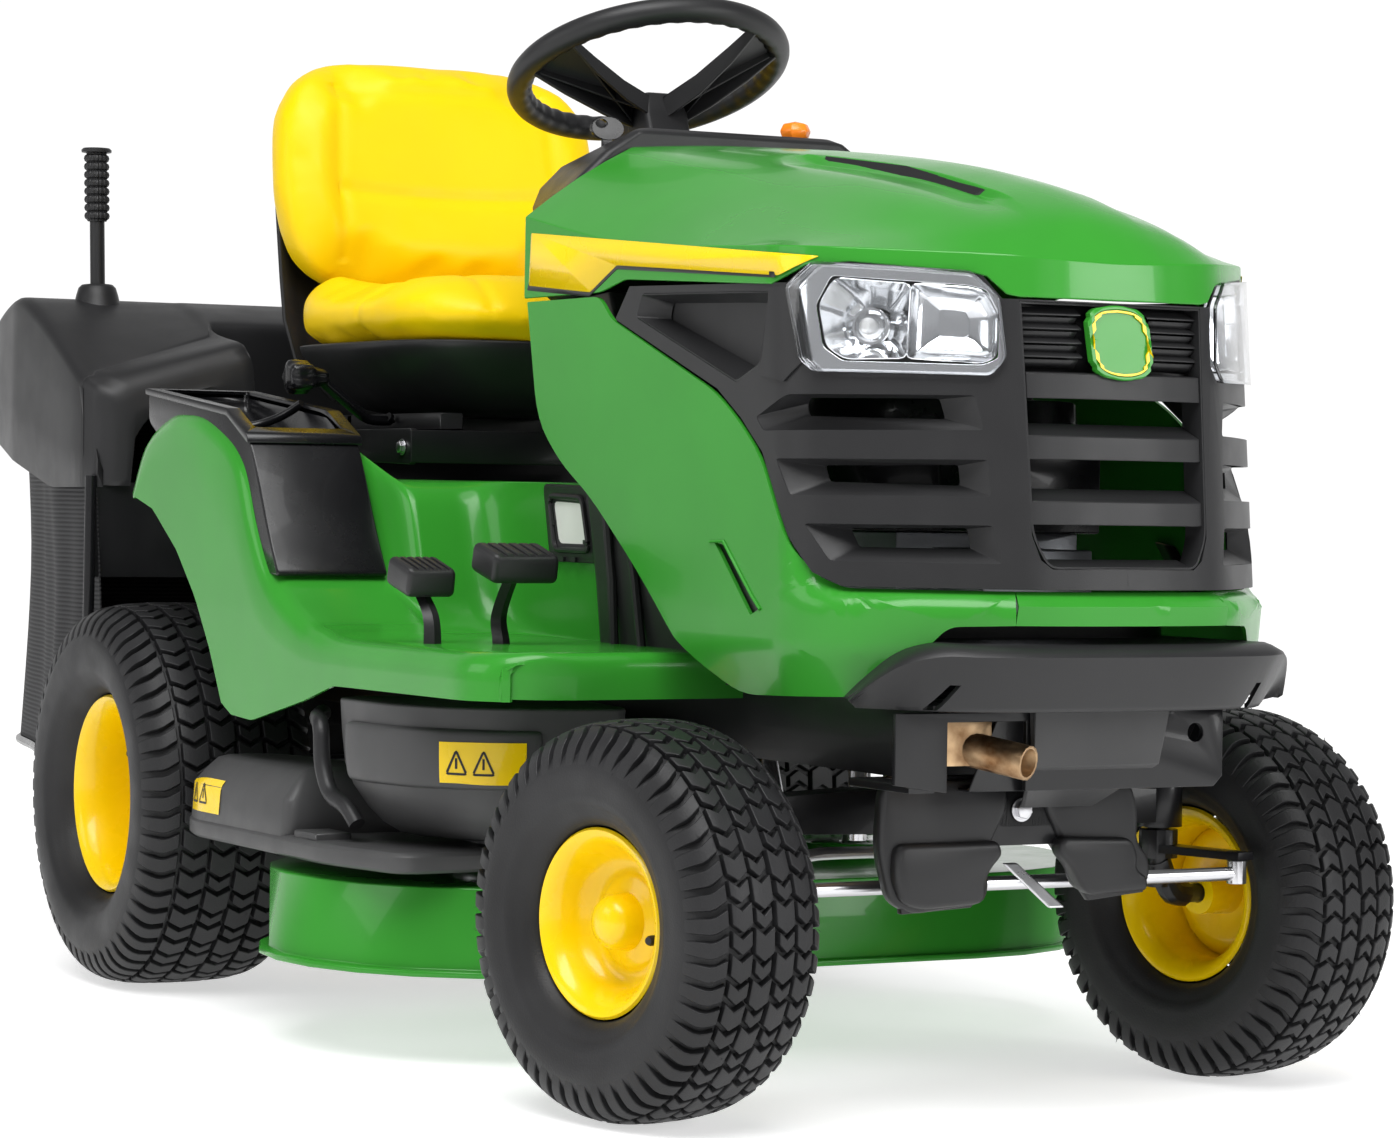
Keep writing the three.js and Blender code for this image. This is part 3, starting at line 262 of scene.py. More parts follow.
def bevel(piece, width, segments=3, angle=30):
    edges = piece.modifiers.new("edges", "BEVEL")
    edges.width = width * MM
    edges.segments = segments
    edges.limit_method = "ANGLE"
    edges.angle_limit = math.radians(angle)
    edges.harden_normals = True


def thicken(piece, depth, offset=-1, even=True):
    walls = piece.modifiers.new("walls", "SOLIDIFY")
    walls.thickness = depth * MM
    walls.offset = offset
    walls.use_even_offset = even


def subdivide(piece, levels=1):
    finer = piece.modifiers.new("finer", "SUBSURF")
    finer.levels = levels
    finer.render_levels = levels


def settle(piece):
    """The modifiers so far become the mesh."""
    graph = bpy.context.evaluated_depsgraph_get()
    graph.update()
    piece.data = bpy.data.meshes.new_from_object(piece.evaluated_get(graph))
    piece.modifiers.clear()


def place(piece, body, slot, replaced=(), finish=None):
    piece.data.materials.clear()
    piece.data.materials.append(FINISHES[finish or slot])
    piece.data.shade_smooth()
    if not any(modifier.type == "BEVEL" for modifier in piece.modifiers):
        piece.data.set_sharp_from_angle(angle=math.radians(32))
    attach(piece, body)
    if replaced:
        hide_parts(*replaced)
    return piece


def grid(name, rows, closed=False, caps=False):
    """A surface through rows of points; a closed row joins its ends, caps fill the first and last row."""
    count = len(rows[0])
    points = [point for row in rows for point in row]
    faces = []
    for r in range(len(rows) - 1):
        for i in range(count if closed else count - 1):
            j = (i + 1) % count
            faces.append((r * count + i, r * count + j, (r + 1) * count + j, (r + 1) * count + i))
    if caps:
        faces.append(tuple(reversed(range(count))))
        faces.append(tuple((len(rows) - 1) * count + i for i in range(count)))
    made = mesh_object(name, points, faces)
    face_outwards(made)
    return made


def joined(name, pieces):
    """Several objects of one finish become one object."""
    bm = bmesh.new()
    for piece in pieces:
        settle(piece)
        bm.from_mesh(piece.data)
        bpy.data.objects.remove(piece)
    return finished(name, bm)


def smooth_line(points, steps=6, closed=False):
    """A Catmull-Rom curve through the points."""
    vectors = [Vector(point) for point in points]
    count = len(vectors)
    line = []
    for i in range(count if closed else count - 1):
        a = vectors[i - 1] if closed or i > 0 else vectors[i]
        b = vectors[i]
        c = vectors[(i + 1) % count]
        d = vectors[(i + 2) % count] if closed or i + 2 < count else c
        for k in range(steps):
            t = k / steps
            bend = 2 * a - 5 * b + 4 * c - d
            turn = 3 * b - a - 3 * c + d
            line.append(0.5 * (2 * b + (c - a) * t + bend * t * t + turn * t ** 3))
    if not closed:
        line.append(vectors[-1])
    return line


def rounded(points, radius, steps=4):
    """A flat outline with its corners rounded; a radius may be one number or one for each corner."""
    corners = [Vector(point) for point in points]
    count = len(corners)
    line = []
    for i, corner in enumerate(corners):
        size = radius[i] if isinstance(radius, (list, tuple)) else radius
        back = corners[i - 1] - corner
        ahead = corners[(i + 1) % count] - corner
        reach = min(size, back.length * 0.45, ahead.length * 0.45)
        start = corner + back.normalized() * reach
        end = corner + ahead.normalized() * reach
        if size <= 0:
            line.append(corner)
            continue
        for k in range(steps + 1):
            t = k / steps
            line.append(start * (1 - t) ** 2 + corner * 2 * t * (1 - t) + end * t * t)
    return line


def sweep(name, line, radius, sides=12, closed=False):
    """A round bar along a line."""
    points = [Vector(point) for point in line]
    count = len(points)
    rows = []
    up = Vector((0, 0, 1))
    for i, point in enumerate(points):
        before = points[i - 1] if closed or i > 0 else point
        after = points[(i + 1) % count] if closed or i + 1 < count else point
        along = (after - before).normalized()
        across = along.cross(up)
        if across.length < 0.05:
            across = along.cross(Vector((0, 1, 0)))
        across.normalize()
        over = across.cross(along)
        rows.append([
            point + radius * (math.cos(a) * across + math.sin(a) * over)
            for a in (2 * math.pi * k / sides for k in range(sides))
        ])
    if closed:
        rows.append(rows[0])
    return grid(name, rows, closed=True, caps=not closed)


def lathe(name, profile, centre, axis, steps=48):
    """A solid of revolution: the profile holds (radius, distance along the axis) pairs."""
    axis = Vector(axis).normalized()
    side = axis.orthogonal().normalized()
    other = axis.cross(side)
    middle_point = Vector(centre)
    rows = []
    for k in range(steps):
        angle = 2 * math.pi * k / steps
        out = math.cos(angle) * side + math.sin(angle) * other
        rows.append([middle_point + axis * along + out * radius for radius, along in profile])
    rows.append(rows[0])
    return grid(name, rows)


def slab(name, outline, axis, low, high):
    """A flat outline given thickness along an axis, as in the drawing: across x the outline is (y, z)."""
    def point(a, b, level):
        return {"x": (level, a, b), "y": (a, level, b), "z": (a, b, level)}[axis]

    rows = [[point(a, b, level) for a, b in outline] for level in (low, high)]
    return grid(name, rows, closed=True, caps=True)


def bolt(name, head, direction, size, body):
    """A zinc hexagon head on a washer."""
    thin, across, flat, tall = 1.6, size * 0.8, size * 0.66, size * 0.72
    washer_line = [(0, 0), (size * 1.05, 0), (size * 1.05, thin), (0, thin)]
    head_line = [(0, thin), (across, thin), (across, size * 0.62), (flat, tall), (0, tall)]
    washer = lathe(name + "_washer", washer_line, head, direction, 20)
    hexagon = lathe(name + "_head", head_line, head, direction, 6)
    made = joined(name, [washer, hexagon])
    bevel(made, 0.5, 2, 40)
    place(made, body, "zinc_steel")


def dress(node):
    """A CAD node that stays: its flat faces are rejoined, its edges rounded and its finish put on."""
    piece = frame["nodes"][node]
    weld = piece.modifiers.new("weld", "WELD")
    weld.merge_threshold = 0.00002
    flat = piece.modifiers.new("flat faces", "DECIMATE")
    flat.decimate_type = "DISSOLVE"
    flat.angle_limit = math.radians(1.2)
    bevel(piece, 2, 2, 24)
    piece.data.shade_smooth()
    piece.data.materials.clear()
    piece.data.materials.append(FINISHES[SLOT_OF[node]])


# ---------- the hood's skin ----------
HOOD_HALF = 262
# The nose meets the hood's side this far behind its tip.
CORNER_BACK = 186
# Half of the nose in plan, as x and distance back from the tip, and where the tip is at each height.
NOSE_PLAN = [(0, 0), (60, 3), (122, 20), (196, 84), (246, 142), (HOOD_HALF, CORNER_BACK)]
NOSE_TIPS = [(396, -872), (500, -884), (720, -862), (990, -836)]
# The hood's sides are flat behind this run; only the skin ahead of it is cut into narrow strips.
FLAT_RUN = -660
STRIP = 12


def between(x, table):
    """Straight-line reading of a table of (x, value) pairs."""
    for (x0, y0), (x1, y1) in zip(table, table[1:]):
        if x <= x1:
            return y0 + (y1 - y0) * max(0, min(1, (x - x0) / (x1 - x0)))
    return table[-1][1]


def nose_curve():
    line = smooth_line([(-60, 3, 0), *[(x, back, 0) for x, back in NOSE_PLAN], (HOOD_HALF, 230, 0)], 16)
    return [point for point in line[16:] if point.y <= CORNER_BACK][::-1]


def run_table(line):
    """The distance along a line at each of its points."""
    runs = [0.0]
    for near, far in zip(line, line[1:]):
        runs.append(runs[-1] + (far - near).length)
    return runs


NOSE = nose_curve()
NOSE_RUN = run_table(NOSE)
NOSE_LENGTH = NOSE_RUN[-1]
NOSE_X = list(zip(NOSE_RUN, [point.x for point in NOSE]))
NOSE_BACK = list(zip(NOSE_RUN, [point.y for point in NOSE]))


def tip_y(z):
    return between(z, NOSE_TIPS)


def corner_run(z):
    """The run at which the hood's side goes over into the nose."""
    return tip_y(z) + CORNER_BACK


def nose_at(run):
    """Plan point and outward normal, a distance round the nose from the corner towards the middle."""
    mirror = 1
    if run > NOSE_LENGTH:
        run = 2 * NOSE_LENGTH - run
        mirror = -1
    x, back = between(run, NOSE_X), between(run, NOSE_BACK)
    ahead, behind = min(run + 3, NOSE_LENGTH), max(run - 3, 0)
    dx = between(ahead, NOSE_X) - between(behind, NOSE_X)
    dy = between(ahead, NOSE_BACK) - between(behind, NOSE_BACK)
    normal = Vector((-dy, dx)).normalized()
    return mirror * x, back, mirror * normal.x, normal.y


def skin(side, run, z, depth=0):
    """A point of the hood's skin: run is y along the side and goes on round the nose past the corner."""
    corner = corner_run(z)
    if run >= corner:
        return Vector((side * (HOOD_HALF - depth), run, z))
    x, back, nx, ny = nose_at(corner - run)
    return Vector((side * (x - depth * nx), tip_y(z) + back - depth * ny, z))


def run_at_x(x, z):
    """How far round the skin the nose's x lies."""
    found = next(k for k, point in enumerate(NOSE) if point.x <= abs(x) + 0.01)
    distance = NOSE_RUN[found]
    if x < 0:
        distance = 2 * NOSE_LENGTH - distance
    return corner_run(z) - distance


def cut_across(bm, levels, direction):
    """The sheet is cut into strips, square to the direction."""
    for level in levels:
        whole = bm.verts[:] + bm.edges[:] + bm.faces[:]
        spot = [level * part for part in direction]
        bmesh.ops.bisect_plane(bm, geom=whole, plane_co=spot, plane_no=direction)


def skin_sheet(name, side, outline, thick, depth=0, holes=(), sink=None):
    """A sheet that follows the skin: outline and holes are (run, z), sink(run, z) adds depth."""
    bm = bmesh.new()
    edges = []
    for loop in (outline, *holes):
        verts = [bm.verts.new((*point[:2], 0)) for point in loop]
        edges += [bm.edges.new((verts[i - 1], verts[i])) for i in range(len(verts))]
    bmesh.ops.triangle_fill(bm, use_beauty=True, use_dissolve=False, edges=edges)
    low = min(vert.co.x for vert in bm.verts)
    high = min(max(vert.co.x for vert in bm.verts), FLAT_RUN)
    cut_across(bm, [low + STRIP * k for k in range(1, math.ceil((high - low) / STRIP))], (1, 0, 0))
    if sink:
        heights = [vert.co.y for vert in bm.verts]
        cut_across(bm, range(int(min(heights)) + 8, int(max(heights)), 10), (0, 1, 0))
    bmesh.ops.dissolve_degenerate(bm, dist=0.05, edges=bm.edges)
    for face in bm.faces:
        if face.normal.z < 0:
            face.normal_flip()
    for vert in bm.verts:
        run, z = vert.co.x, vert.co.y
        extra = sink(run, z) if sink else 0
        vert.co = at(*skin(side, run, z, depth + extra))
    # From outside, (run, z) is right-handed on the machine's left and mirrored on its right.
    hood_middle = at(0, -500, 600)
    bm.normal_update()
    outward = sum(
        face.normal.dot(face.calc_center_median() - hood_middle) * face.calc_area() for face in bm.faces
    )
    if outward < 0:
        bmesh.ops.reverse_faces(bm, faces=bm.faces)
    made = finished(name, bm)
    thicken(made, thick)
    return made


def reveal(name, side, outer, inner, depth_out, depth_in, thick):
    """The sloping walls from an opening in the skin to a smaller one further in."""
    rows = [
        [skin(side, *point, depth_out) for point in outer],
        [skin(side, *point, depth_in) for point in inner],
    ]
    made = grid(name, rows, closed=True)
    thicken(made, thick)
    return made


# ---------- hood top ----------
CROWN = [(0, 970), (0.31, 950), (0.59, 926), (0.78, 900), (0.88, 879), (0.95, 853), (1, 813)]
CREASE = [(0, 962), (0.634, 887), (0.9, 842), (1, 820)]
SHOULDER = [(0, 882), (0.45, 842), (0.8, 832), (1, 828)]
HOOD_REAR_Y = -138
CREASE_X = 137
LIP_CREASE_X = 160


def smooth_table(table):
    return [(p.x, p.y) for p in smooth_line([(a, b, 0) for a, b in table], 8)]


CROWN_FINE, CREASE_FINE, SHOULDER_FINE = smooth_table(CROWN), smooth_table(CREASE), smooth_table(SHOULDER)


def hood_top_point(side, u, s):
    """u: 0 at the middle, 1 at the crease, 2 at the shoulder. s: 0 at the rear, 1 at the lip."""
    lip_z = between(u, [(0, 813), (1, 820), (2, 828)])
    if u <= 1:
        front = skin(side, run_at_x(LIP_CREASE_X * u, lip_z), lip_z)
        rear_x = CREASE_X * u
    else:
        start = run_at_x(LIP_CREASE_X, lip_z)
        corner = corner_run(lip_z)
        front = skin(side, start + (corner - start) * (u - 1), lip_z)
        rear_x = CREASE_X + (HOOD_HALF - CREASE_X) * (u - 1)
    x = side * (rear_x + (abs(front.x) - rear_x) * s)
    y = HOOD_REAR_Y + (front.y - HOOD_REAR_Y) * s
    crown, crease, shoulder = between(s, CROWN_FINE), between(s, CREASE_FINE), between(s, SHOULDER_FINE)
    if u <= 1:
        z = crown + (crease - crown) * u ** 1.5
    else:
        z = crease + (shoulder - crease) * (u - 1) + 5 * math.sin(math.pi * (u - 1)) * (1 - s)
    return Vector((x, y, z - scoop_depth(abs(x), y)))


def ease(value, low, high):
    t = max(0.0, min(1.0, (value - low) / (high - low)))
    return t * t * (3 - 2 * t)


def scoop_depth(x, y):
    """The two shallow troughs in the top that hold the air slots."""
    along = ease(y, -800, -704) * (1 - ease(y, -405, -345))
    inner = 50 + 8 * (1 - along)
    across = ease(x, inner, inner + 5) * (1 - ease(x, 62, 112))
    return 9 * along * across


def band_low(run):
    """Lower edge of the band under the shoulder."""
    return between(
        run,
        [
            (-1020, 778), (-905, 779), (-880, 800), (-736, 812), (-700, 806), (-686, 790), (-368, 807),
            (-312, 796), (-138, 796),
        ],
    )


def hood_top():
    across = [
        0, 0.12, 0.24, 0.33, 0.36, 0.40, 0.44, 0.5, 0.56, 0.62, 0.7, 0.8, 0.9, 1.0, 1.1, 1.25, 1.5, 1.75,
        2.0,
    ]
    along = [k / 44 for k in range(45)]
    rows = []
    for s in along:
        left = [hood_top_point(LEFT, u, s) for u in reversed(across[1:])]
        right = [hood_top_point(RIGHT, u, s) for u in across]
        rows.append(left + right)
    top = grid("hood_top_skin", rows)

    # The band hangs from the top's rim: down one side, round the nose and back up the other.
    rim = [(LEFT, 2.0, s) for s in along] + [(LEFT, u, 1.0) for u in reversed(across[1:-1])]
    rim += [(RIGHT, u, 1.0) for u in across] + [(RIGHT, 2.0, s) for s in reversed(along[:-1])]
    upper, lower = [], []
    for side, u, s in rim:
        edge = hood_top_point(side, u, s)
        corner = corner_run(edge.z)
        run = edge.y if edge.y >= corner - 0.5 else run_at_x(abs(edge.x), edge.z)
        upper.append(edge)
        lower.append(skin(side, run, band_low(run)))
    middle_row = [a.lerp(b, 0.5) for a, b in zip(upper, lower)]
    band = grid("hood_band", [upper, middle_row, lower])
    made = joined("hood_shell", [top, band])
    face_outwards(made)
    thicken(made, 4)
    bevel(made, 4, 3, 22)
    place(made, "hood", "green_paint", ("hood_top",))
    for side, name in SIDES:
        # Each air slot is a thin dark sliver laid just over the top: painted shade standing in for the slit's
        # shaded inside.
        slit = [(51, -402), (56, -404), (57.5, -560), (57, -694), (52, -706), (50.5, -560)]
        rows = []
        for lift in (-6, 0.5):
            rows.append([Vector((side * x, y, hood_height(x, y) + lift)) for x, y in slit])
        dark = grid("hood_air_slot_painted_shade_" + name, rows, closed=True, caps=True)
        place(dark, "hood", "black_plastic", finish="deep_black")


def hood_height(x, y):
    """Height of the hood top over a plan point near its middle."""
    s = 0.5
    for _ in range(12):
        u = min(1, x / (CREASE_X + (LIP_CREASE_X - CREASE_X) * s))
        front_y = skin(LEFT, run_at_x(LIP_CREASE_X * u, 815), 815).y
        s = (y - HOOD_REAR_Y) / (front_y - HOOD_REAR_Y)
    crown, crease = between(s, CROWN_FINE), between(s, CREASE_FINE)
    return crown + (crease - crown) * u ** 1.5 - scoop_depth(x, y)


def stripe():
    """Plain yellow stripe under the shoulder, with a thin dark line below it painted as shadow."""
    outline = [(-154, 864), (-724, 816), (-678, 799), (-351, 822), (-292, 797), (-150, 809)]
    shadow = [
        (-150, 812), (-292, 800), (-351, 825), (-678, 802), (-672, 797), (-351, 818), (-290, 792.5),
        (-146, 804.5),
    ]
    for side, name in SIDES:
        tape = skin_sheet("stripe_" + name, side, rounded(outline, 3, 3), 0.4, -0.5)
        place(tape, "hood", "yellow_paint")
        # The thin dark strip along the stripe's lower edge is painted shadow.
        line = skin_sheet("stripe_painted_shadow_" + name, side, shadow, 0.4, -0.45)
        place(line, "hood", "black_plastic", finish="deep_black")


# ---------- side panels and nose panel ----------
NOSE_JOINT_X = 117


def panel_sink(run, z):
    """The lower edge tucks in, and the band under the grille stands proud with a chamfered ledge."""
    tuck = max(0, 452 - z) * 0.3
    nose = ease(-run, 700, 780)
    return tuck + nose * (max(0, z - 497) * 1.5 - 8)


def side_panels():
    joint = NOSE_JOINT_X + 0.5
    for side, name in SIDES:
        outline = [
            (-146, 792), (-312, 792), (-340, 768), (-560, 692), (-607, 664), (-650, 631), (-699, 553),
            (-732, 520), (-765, 509), (run_at_x(joint, 509), 509), (run_at_x(joint, 478), 478), (-868, 476),
            (-842, 452), (-818, 410), (-594, 403), (-498, 441), (-411, 512), (-299, 589), (-229, 624),
            (-174, 668),
        ]
        radii = [2, 12, 12, 30, 20, 30, 25, 12, 10, 1, 1, 10, 12, 10, 30, 40, 50, 50, 30, 50]
        vent = rounded([(-563, 548), (-584, 545), (-652, 486), (-636, 480)], 2, 2)
        panel = skin_sheet("hood_side_" + name, side, rounded(outline, radii), 4, 0, [vent], panel_sink)
        bevel(panel, 1.6, 3, 40)
        place(panel, "hood", "green_paint", ("side_panel_" + name,))
        behind = rounded([(-556, 552), (-590, 548), (-660, 482), (-630, 474)], 3, 2)
        lining = skin_sheet("side_vent_" + name, side, behind, 1.5, 5)
        place(lining, "hood", "black_plastic", finish="deep_black")
        # A bright-edged lip runs along the upper side of the vent.
        rim = [
            skin(side, run, z, -0.6)
            for run, z in [(-556, 548), (-582, 549), (-600, 533), (-640, 498), (-656, 486)]
        ]
        lip = sweep("side_vent_lip_" + name, rim, 1.6, 8)
        place(lip, "hood", "green_paint")


def nose_panel():
    joint = NOSE_JOINT_X - 0.5
    outline = [
        (run_at_x(joint, 509), 509), (run_at_x(-joint, 509), 509), (run_at_x(-joint, 478), 478),
        (run_at_x(joint, 478), 478),
    ]
    panel = skin_sheet("nose_strip", LEFT, outline, 4, sink=panel_sink)
    bevel(panel, 1.2, 2, 40)
    place(panel, "hood", "green_paint", ("nose_panel",))


# ---------- grille ----------
LAMP_OUTLINE = [
    (-691, 788), (-718, 811), (-869, 802), (-896, 779), (-906, 722), (-893, 706), (-725, 709), (-711, 720),
]
SIDE_WINDOWS = [
    (
        [(-639, 667), (-695, 688), (-879, 688), (-890, 656), (-653, 654)],
        [(-699, 677), (-704, 685), (-842, 685), (-849, 666), (-703, 668)],
    ),
    (
        [(-678, 628), (-895, 629), (-900, 595), (-702, 594)],
        [(-729, 622), (-864, 624), (-867, 605), (-736, 607)],
    ),
    (
        [(-721, 568), (-903, 569), (-914, 534), (-751, 534)],
        [(-762, 564), (-876, 566), (-881, 547), (-772, 547)],
    ),
]
FRAME_INNER_X = 101


def u_frame_opening():
    low, high = 530, 775
    x_low, x_high = 84, FRAME_INNER_X + 2
    outline = [
        (run_at_x(x_high, high), high), (run_at_x(-x_high, high), high),
        (run_at_x(-98, low + 30), low + 30),
    ]
    outline += [(run_at_x(-x_low, low), low), (run_at_x(x_low, low), low), (run_at_x(98, low + 30), low + 30)]
    return rounded(outline, [1, 1, 12, 10, 10, 12], 3)


def grille():
    pieces = []
    top_run, foot_run = (corner_run(z) - NOSE_LENGTH for z in (776, 511))
    outline = [
        (-346, 768), (-376, 800), (-688, 792), (-718, 814), (-872, 806), (-899, 777), (top_run, 776),
        (top_run, 775), (run_at_x(102.9, 775), 775.2), (run_at_x(98, 560), 560), (run_at_x(92, 538), 538),
        (run_at_x(80, 529.6), 529.6), (foot_run, 529.6), (foot_run, 511), (-765, 511), (-733, 523),
        (-701, 556), (-652, 634), (-609, 667), (-562, 695),
    ]
    duct = rounded([(-392, 768), (-404, 792), (-600, 787), (-664, 785), (-646, 716), (-600, 700)], 6, 3)
    duct_inner = rounded([(-420, 765), (-426, 784), (-596, 779), (-640, 776), (-634, 726), (-600, 712)], 6, 3)
    windows = [(rounded(outer, 4, 2), rounded(inner, 3, 2)) for outer, inner in SIDE_WINDOWS]
    holes = [rounded(LAMP_OUTLINE, 6, 3), duct, *[outer for outer, _ in windows]]
    cheek = [(-664, 788), (-692, 790), (-712, 718), (-690, 700), (-650, 706)]
    for side, name in SIDES:
        pieces.append(skin_sheet("grille_face_" + name, side, outline, 3, 1.5, holes))
        for outer, inner in windows:
            pieces.append(reveal("grille_reveal", side, outer, inner, 2, 24, 2))
        pieces.append(reveal("duct_reveal", side, duct, duct_inner, 2, 26, 2))
        pieces.append(skin_sheet("duct_floor", side, duct_inner, 1.5, 26))
        pieces.append(skin_sheet("lamp_cheek", side, cheek, 4, -1))
    opening = u_frame_opening()
    middle_run = corner_run(650) - NOSE_LENGTH
    inner = [(run + (2 if run > middle_run else -2), z) for run, z in opening]
    pieces.append(reveal("u_frame_reveal", LEFT, opening, inner, 2, 26, 2))
    made = joined("grille_frame", pieces)
    bevel(made, 0.9, 2, 35)
    place(made, "hood", "black_plastic", ("grille",))
    grille_slats()


def slat(name, low, high, x_end, rise, depth=5):
    """A bar across the middle bank, its upper side sloping up and back."""
    rows = []
    profile = [
        (depth, low), (depth, high), (depth + 22, high + rise), (depth + 24, high + rise - 4),
        (depth + 12, low + 3),
    ]
    steps = 18
    for k in range(steps + 1):
        x = -x_end + 2 * x_end * k / steps
        rows.append([skin(LEFT, run_at_x(x, z), z, into) for into, z in profile])
    bar = grid(name, rows, closed=True, caps=True)
    bevel(bar, 1.4, 3, 30)
    place(bar, "hood", "black_plastic")


def grille_slats():
    slat("grille_beam", 686, 710, FRAME_INNER_X + 0.4, 2, 3)
    slat("grille_slat_upper", 630, 652, FRAME_INNER_X - 0.6, 12)
    slat("grille_slat_lower", 570, 592, FRAME_INNER_X - 2, 12)
    slat("grille_sill", 518, 531, 83, 8, 6)
    back = [
        (run_at_x(104, 776), 777), (run_at_x(-104, 776), 777), (run_at_x(-104, 706), 706),
        (run_at_x(104, 706), 706),
    ]
    plate = skin_sheet("louvre_back", LEFT, back, 2, 20)
    place(plate, "hood", "black_plastic", finish="deep_black")
    for side, name in SIDES:
        for k, z in enumerate((724, 737, 750, 763)):
            rows = []
            for step in range(9):
                x = 40 + (107 - 40) * step / 8
                rows.append([
                    skin(side, run_at_x(x, level), level, into)
                    for into, level in [(7, z), (7, z + 1.6), (19, z + 8), (19, z + 5)]
                ])
            rib = grid("louvre_%s_%d" % (name, k + 1), rows, closed=True, caps=True)
            bevel(rib, 0.4, 2, 30)
            place(rib, "hood", "black_plastic")
            floor = [
                [
                    skin(side, run_at_x(44 + 60 * step / 8, z - 2), z - 2 - 8 * deep, 9 + 8 * deep)
                    for step in range(9)
                ]
                for deep in (0, 1)
            ]
            face = grid("louvre_face_%s_%d" % (name, k + 1), floor)
            thicken(face, 1)
            place(face, "hood", "black_plastic")


# ---------- headlights ----------
LAMP_INNER = [
    (-719, 771), (-734, 798), (-866, 789), (-884, 785), (-897, 763), (-899, 722), (-884, 716), (-750, 719),
    (-729, 732),
]
BULB_RUN = -768
BOWL_SPLIT = -812
NEAR_BOWL = [(-722, 771), (-737, 796), (BOWL_SPLIT, 790), (BOWL_SPLIT, 722), (-752, 721), (-732, 733)]
FAR_BOWL = [
    (BOWL_SPLIT, 790), (-866, 787), (-884, 783), (-896, 763), (-897, 724), (-884, 718), (BOWL_SPLIT, 722),
]
# Each bowl: its mouth, its centre, and its steps as (depth, share of the mouth).
BOWLS = (
    (rounded(NEAR_BOWL, 8, 3), (BULB_RUN, 753), ((9, 1.0), (22, 0.86), (38, 0.62), (46, 0.3))),
    (rounded(FAR_BOWL, 5, 2), (-850, 755), ((9, 1.0), (16, 0.93), (26, 0.7), (30, 0.35))),
)
BULB_PARTS = (
    ("bulb_socket_", [(0, 0), (17, 0), (17, 3), (12, 5), (12, 9), (8, 10), (0, 10)], 28, "chrome"),
    ("bulb_", [(0, 9), (6, 10), (8, 16), (7.5, 22), (4, 27), (0, 28)], 24, "bulb_glass"),
    ("bulb_ring_", [(15, 10), (17.5, 10), (17.5, 12), (15, 12), (15, 10)], 32, "chrome"),
)


def reflector(side, name):
    """Two chrome bowls side by side, their walls stepped, and the plates that close them."""
    bowls, backs = [], []
    for mouth, (mid_run, mid_z), levels in BOWLS:
        rows = []
        for depth, share in levels:
            rows.append([
                skin(side, mid_run + (run - mid_run) * share, mid_z + (z - mid_z) * share, depth)
                for run, z in mouth
            ])
        bowls.append(grid("bowl", rows, closed=True))
        backs.append(mesh_object("bowl_back", rows[-1], [tuple(range(len(mouth)))]))
        thicken(bowls[-1], 1, 1)
        thicken(backs[-1], 1)
    place(joined("headlight_reflector_" + name, bowls + backs), "hood", "lens", finish="chrome")


def headlights():
    outer = rounded(LAMP_OUTLINE, 5, 3)
    for side, name in SIDES:
        lens_face = skin_sheet("lens", side, outer, 3, -5)
        wall = reveal("lens_wall", side, outer, outer, -4, 9, 2.5)
        made = joined("headlight_lens_" + name, [lens_face, wall])
        bevel(made, 1.6, 3, 35)
        place(made, "hood", "lens", ("headlight_" + name,))
        bezel = skin_sheet("headlight_bezel_" + name, side, outer, 2, 8, [rounded(LAMP_INNER, 4, 2)])
        bevel(bezel, 0.8, 2, 35)
        place(bezel, "hood", "lens", finish="chrome")
        reflector(side, name)
        front, rear = (skin(side, BULB_RUN, 752, depth) for depth in (14, 44))
        for part, profile, steps, finish in BULB_PARTS:
            place(lathe(part + name, profile, rear, front - rear, steps), "hood", "lens", finish=finish)


# ---------- badge ----------
def badge():
    """A plain shield-like plate with a raised rim, and nothing on it."""
    corners = [(-31, 770), (0, 775), (31, 770), (39, 740), (32, 709), (0, 703), (-32, 709), (-39, 740)]
    outline = rounded(corners, [13, 20, 13, 18, 13, 20, 13, 18], 5)
    middle_z = 738

    def scaled(factor, depth):
        return [
            skin(LEFT, run_at_x(x * factor, middle_z), middle_z + (z - middle_z) * factor, depth)
            for x, z in outline
        ]

    steps = ((1, 6), (1, -1.5), (0.965, -3), (0.91, -3), (0.89, -1.6), (0.5, -1.6), (0.02, -1.6))
    plate = grid("badge_plate", [scaled(*step) for step in steps], closed=True, caps=True)
    bevel(plate, 0.5, 2, 30)
    place(plate, "hood", "green_paint", ("badge",))
    steps = ((0.885, -1.2), (0.88, -3.2), (0.825, -3.2), (0.82, -1.2))
    ring = grid("badge_ring", [scaled(*step) for step in steps], closed=True)
    thicken(ring, 0.4)
    place(ring, "hood", "yellow_paint")


hood_top()
stripe()
side_panels()
nose_panel()
grille()
headlights()
badge()


# ---------- wheels ----------
# rows: where each row of tread blocks starts and ends; valve: its radius, its depth and its angle.
FRONT = {
    "radius": 190.5, "half": 76, "rim": 90, "lip": 53, "tread": 7, "pitches": 25,
    "rows": (1.5, 24, 27, 49, 53, 99), "hairs": 70, "valve": (60, 17, 100),
}
REAR = {
    "radius": 227, "half": 107, "rim": 117, "lip": 75, "tread": 8.5, "pitches": 28,
    "rows": (1.5, 31, 35, 66, 71, 126), "hairs": 50, "valve": (84, -4, 300),
}


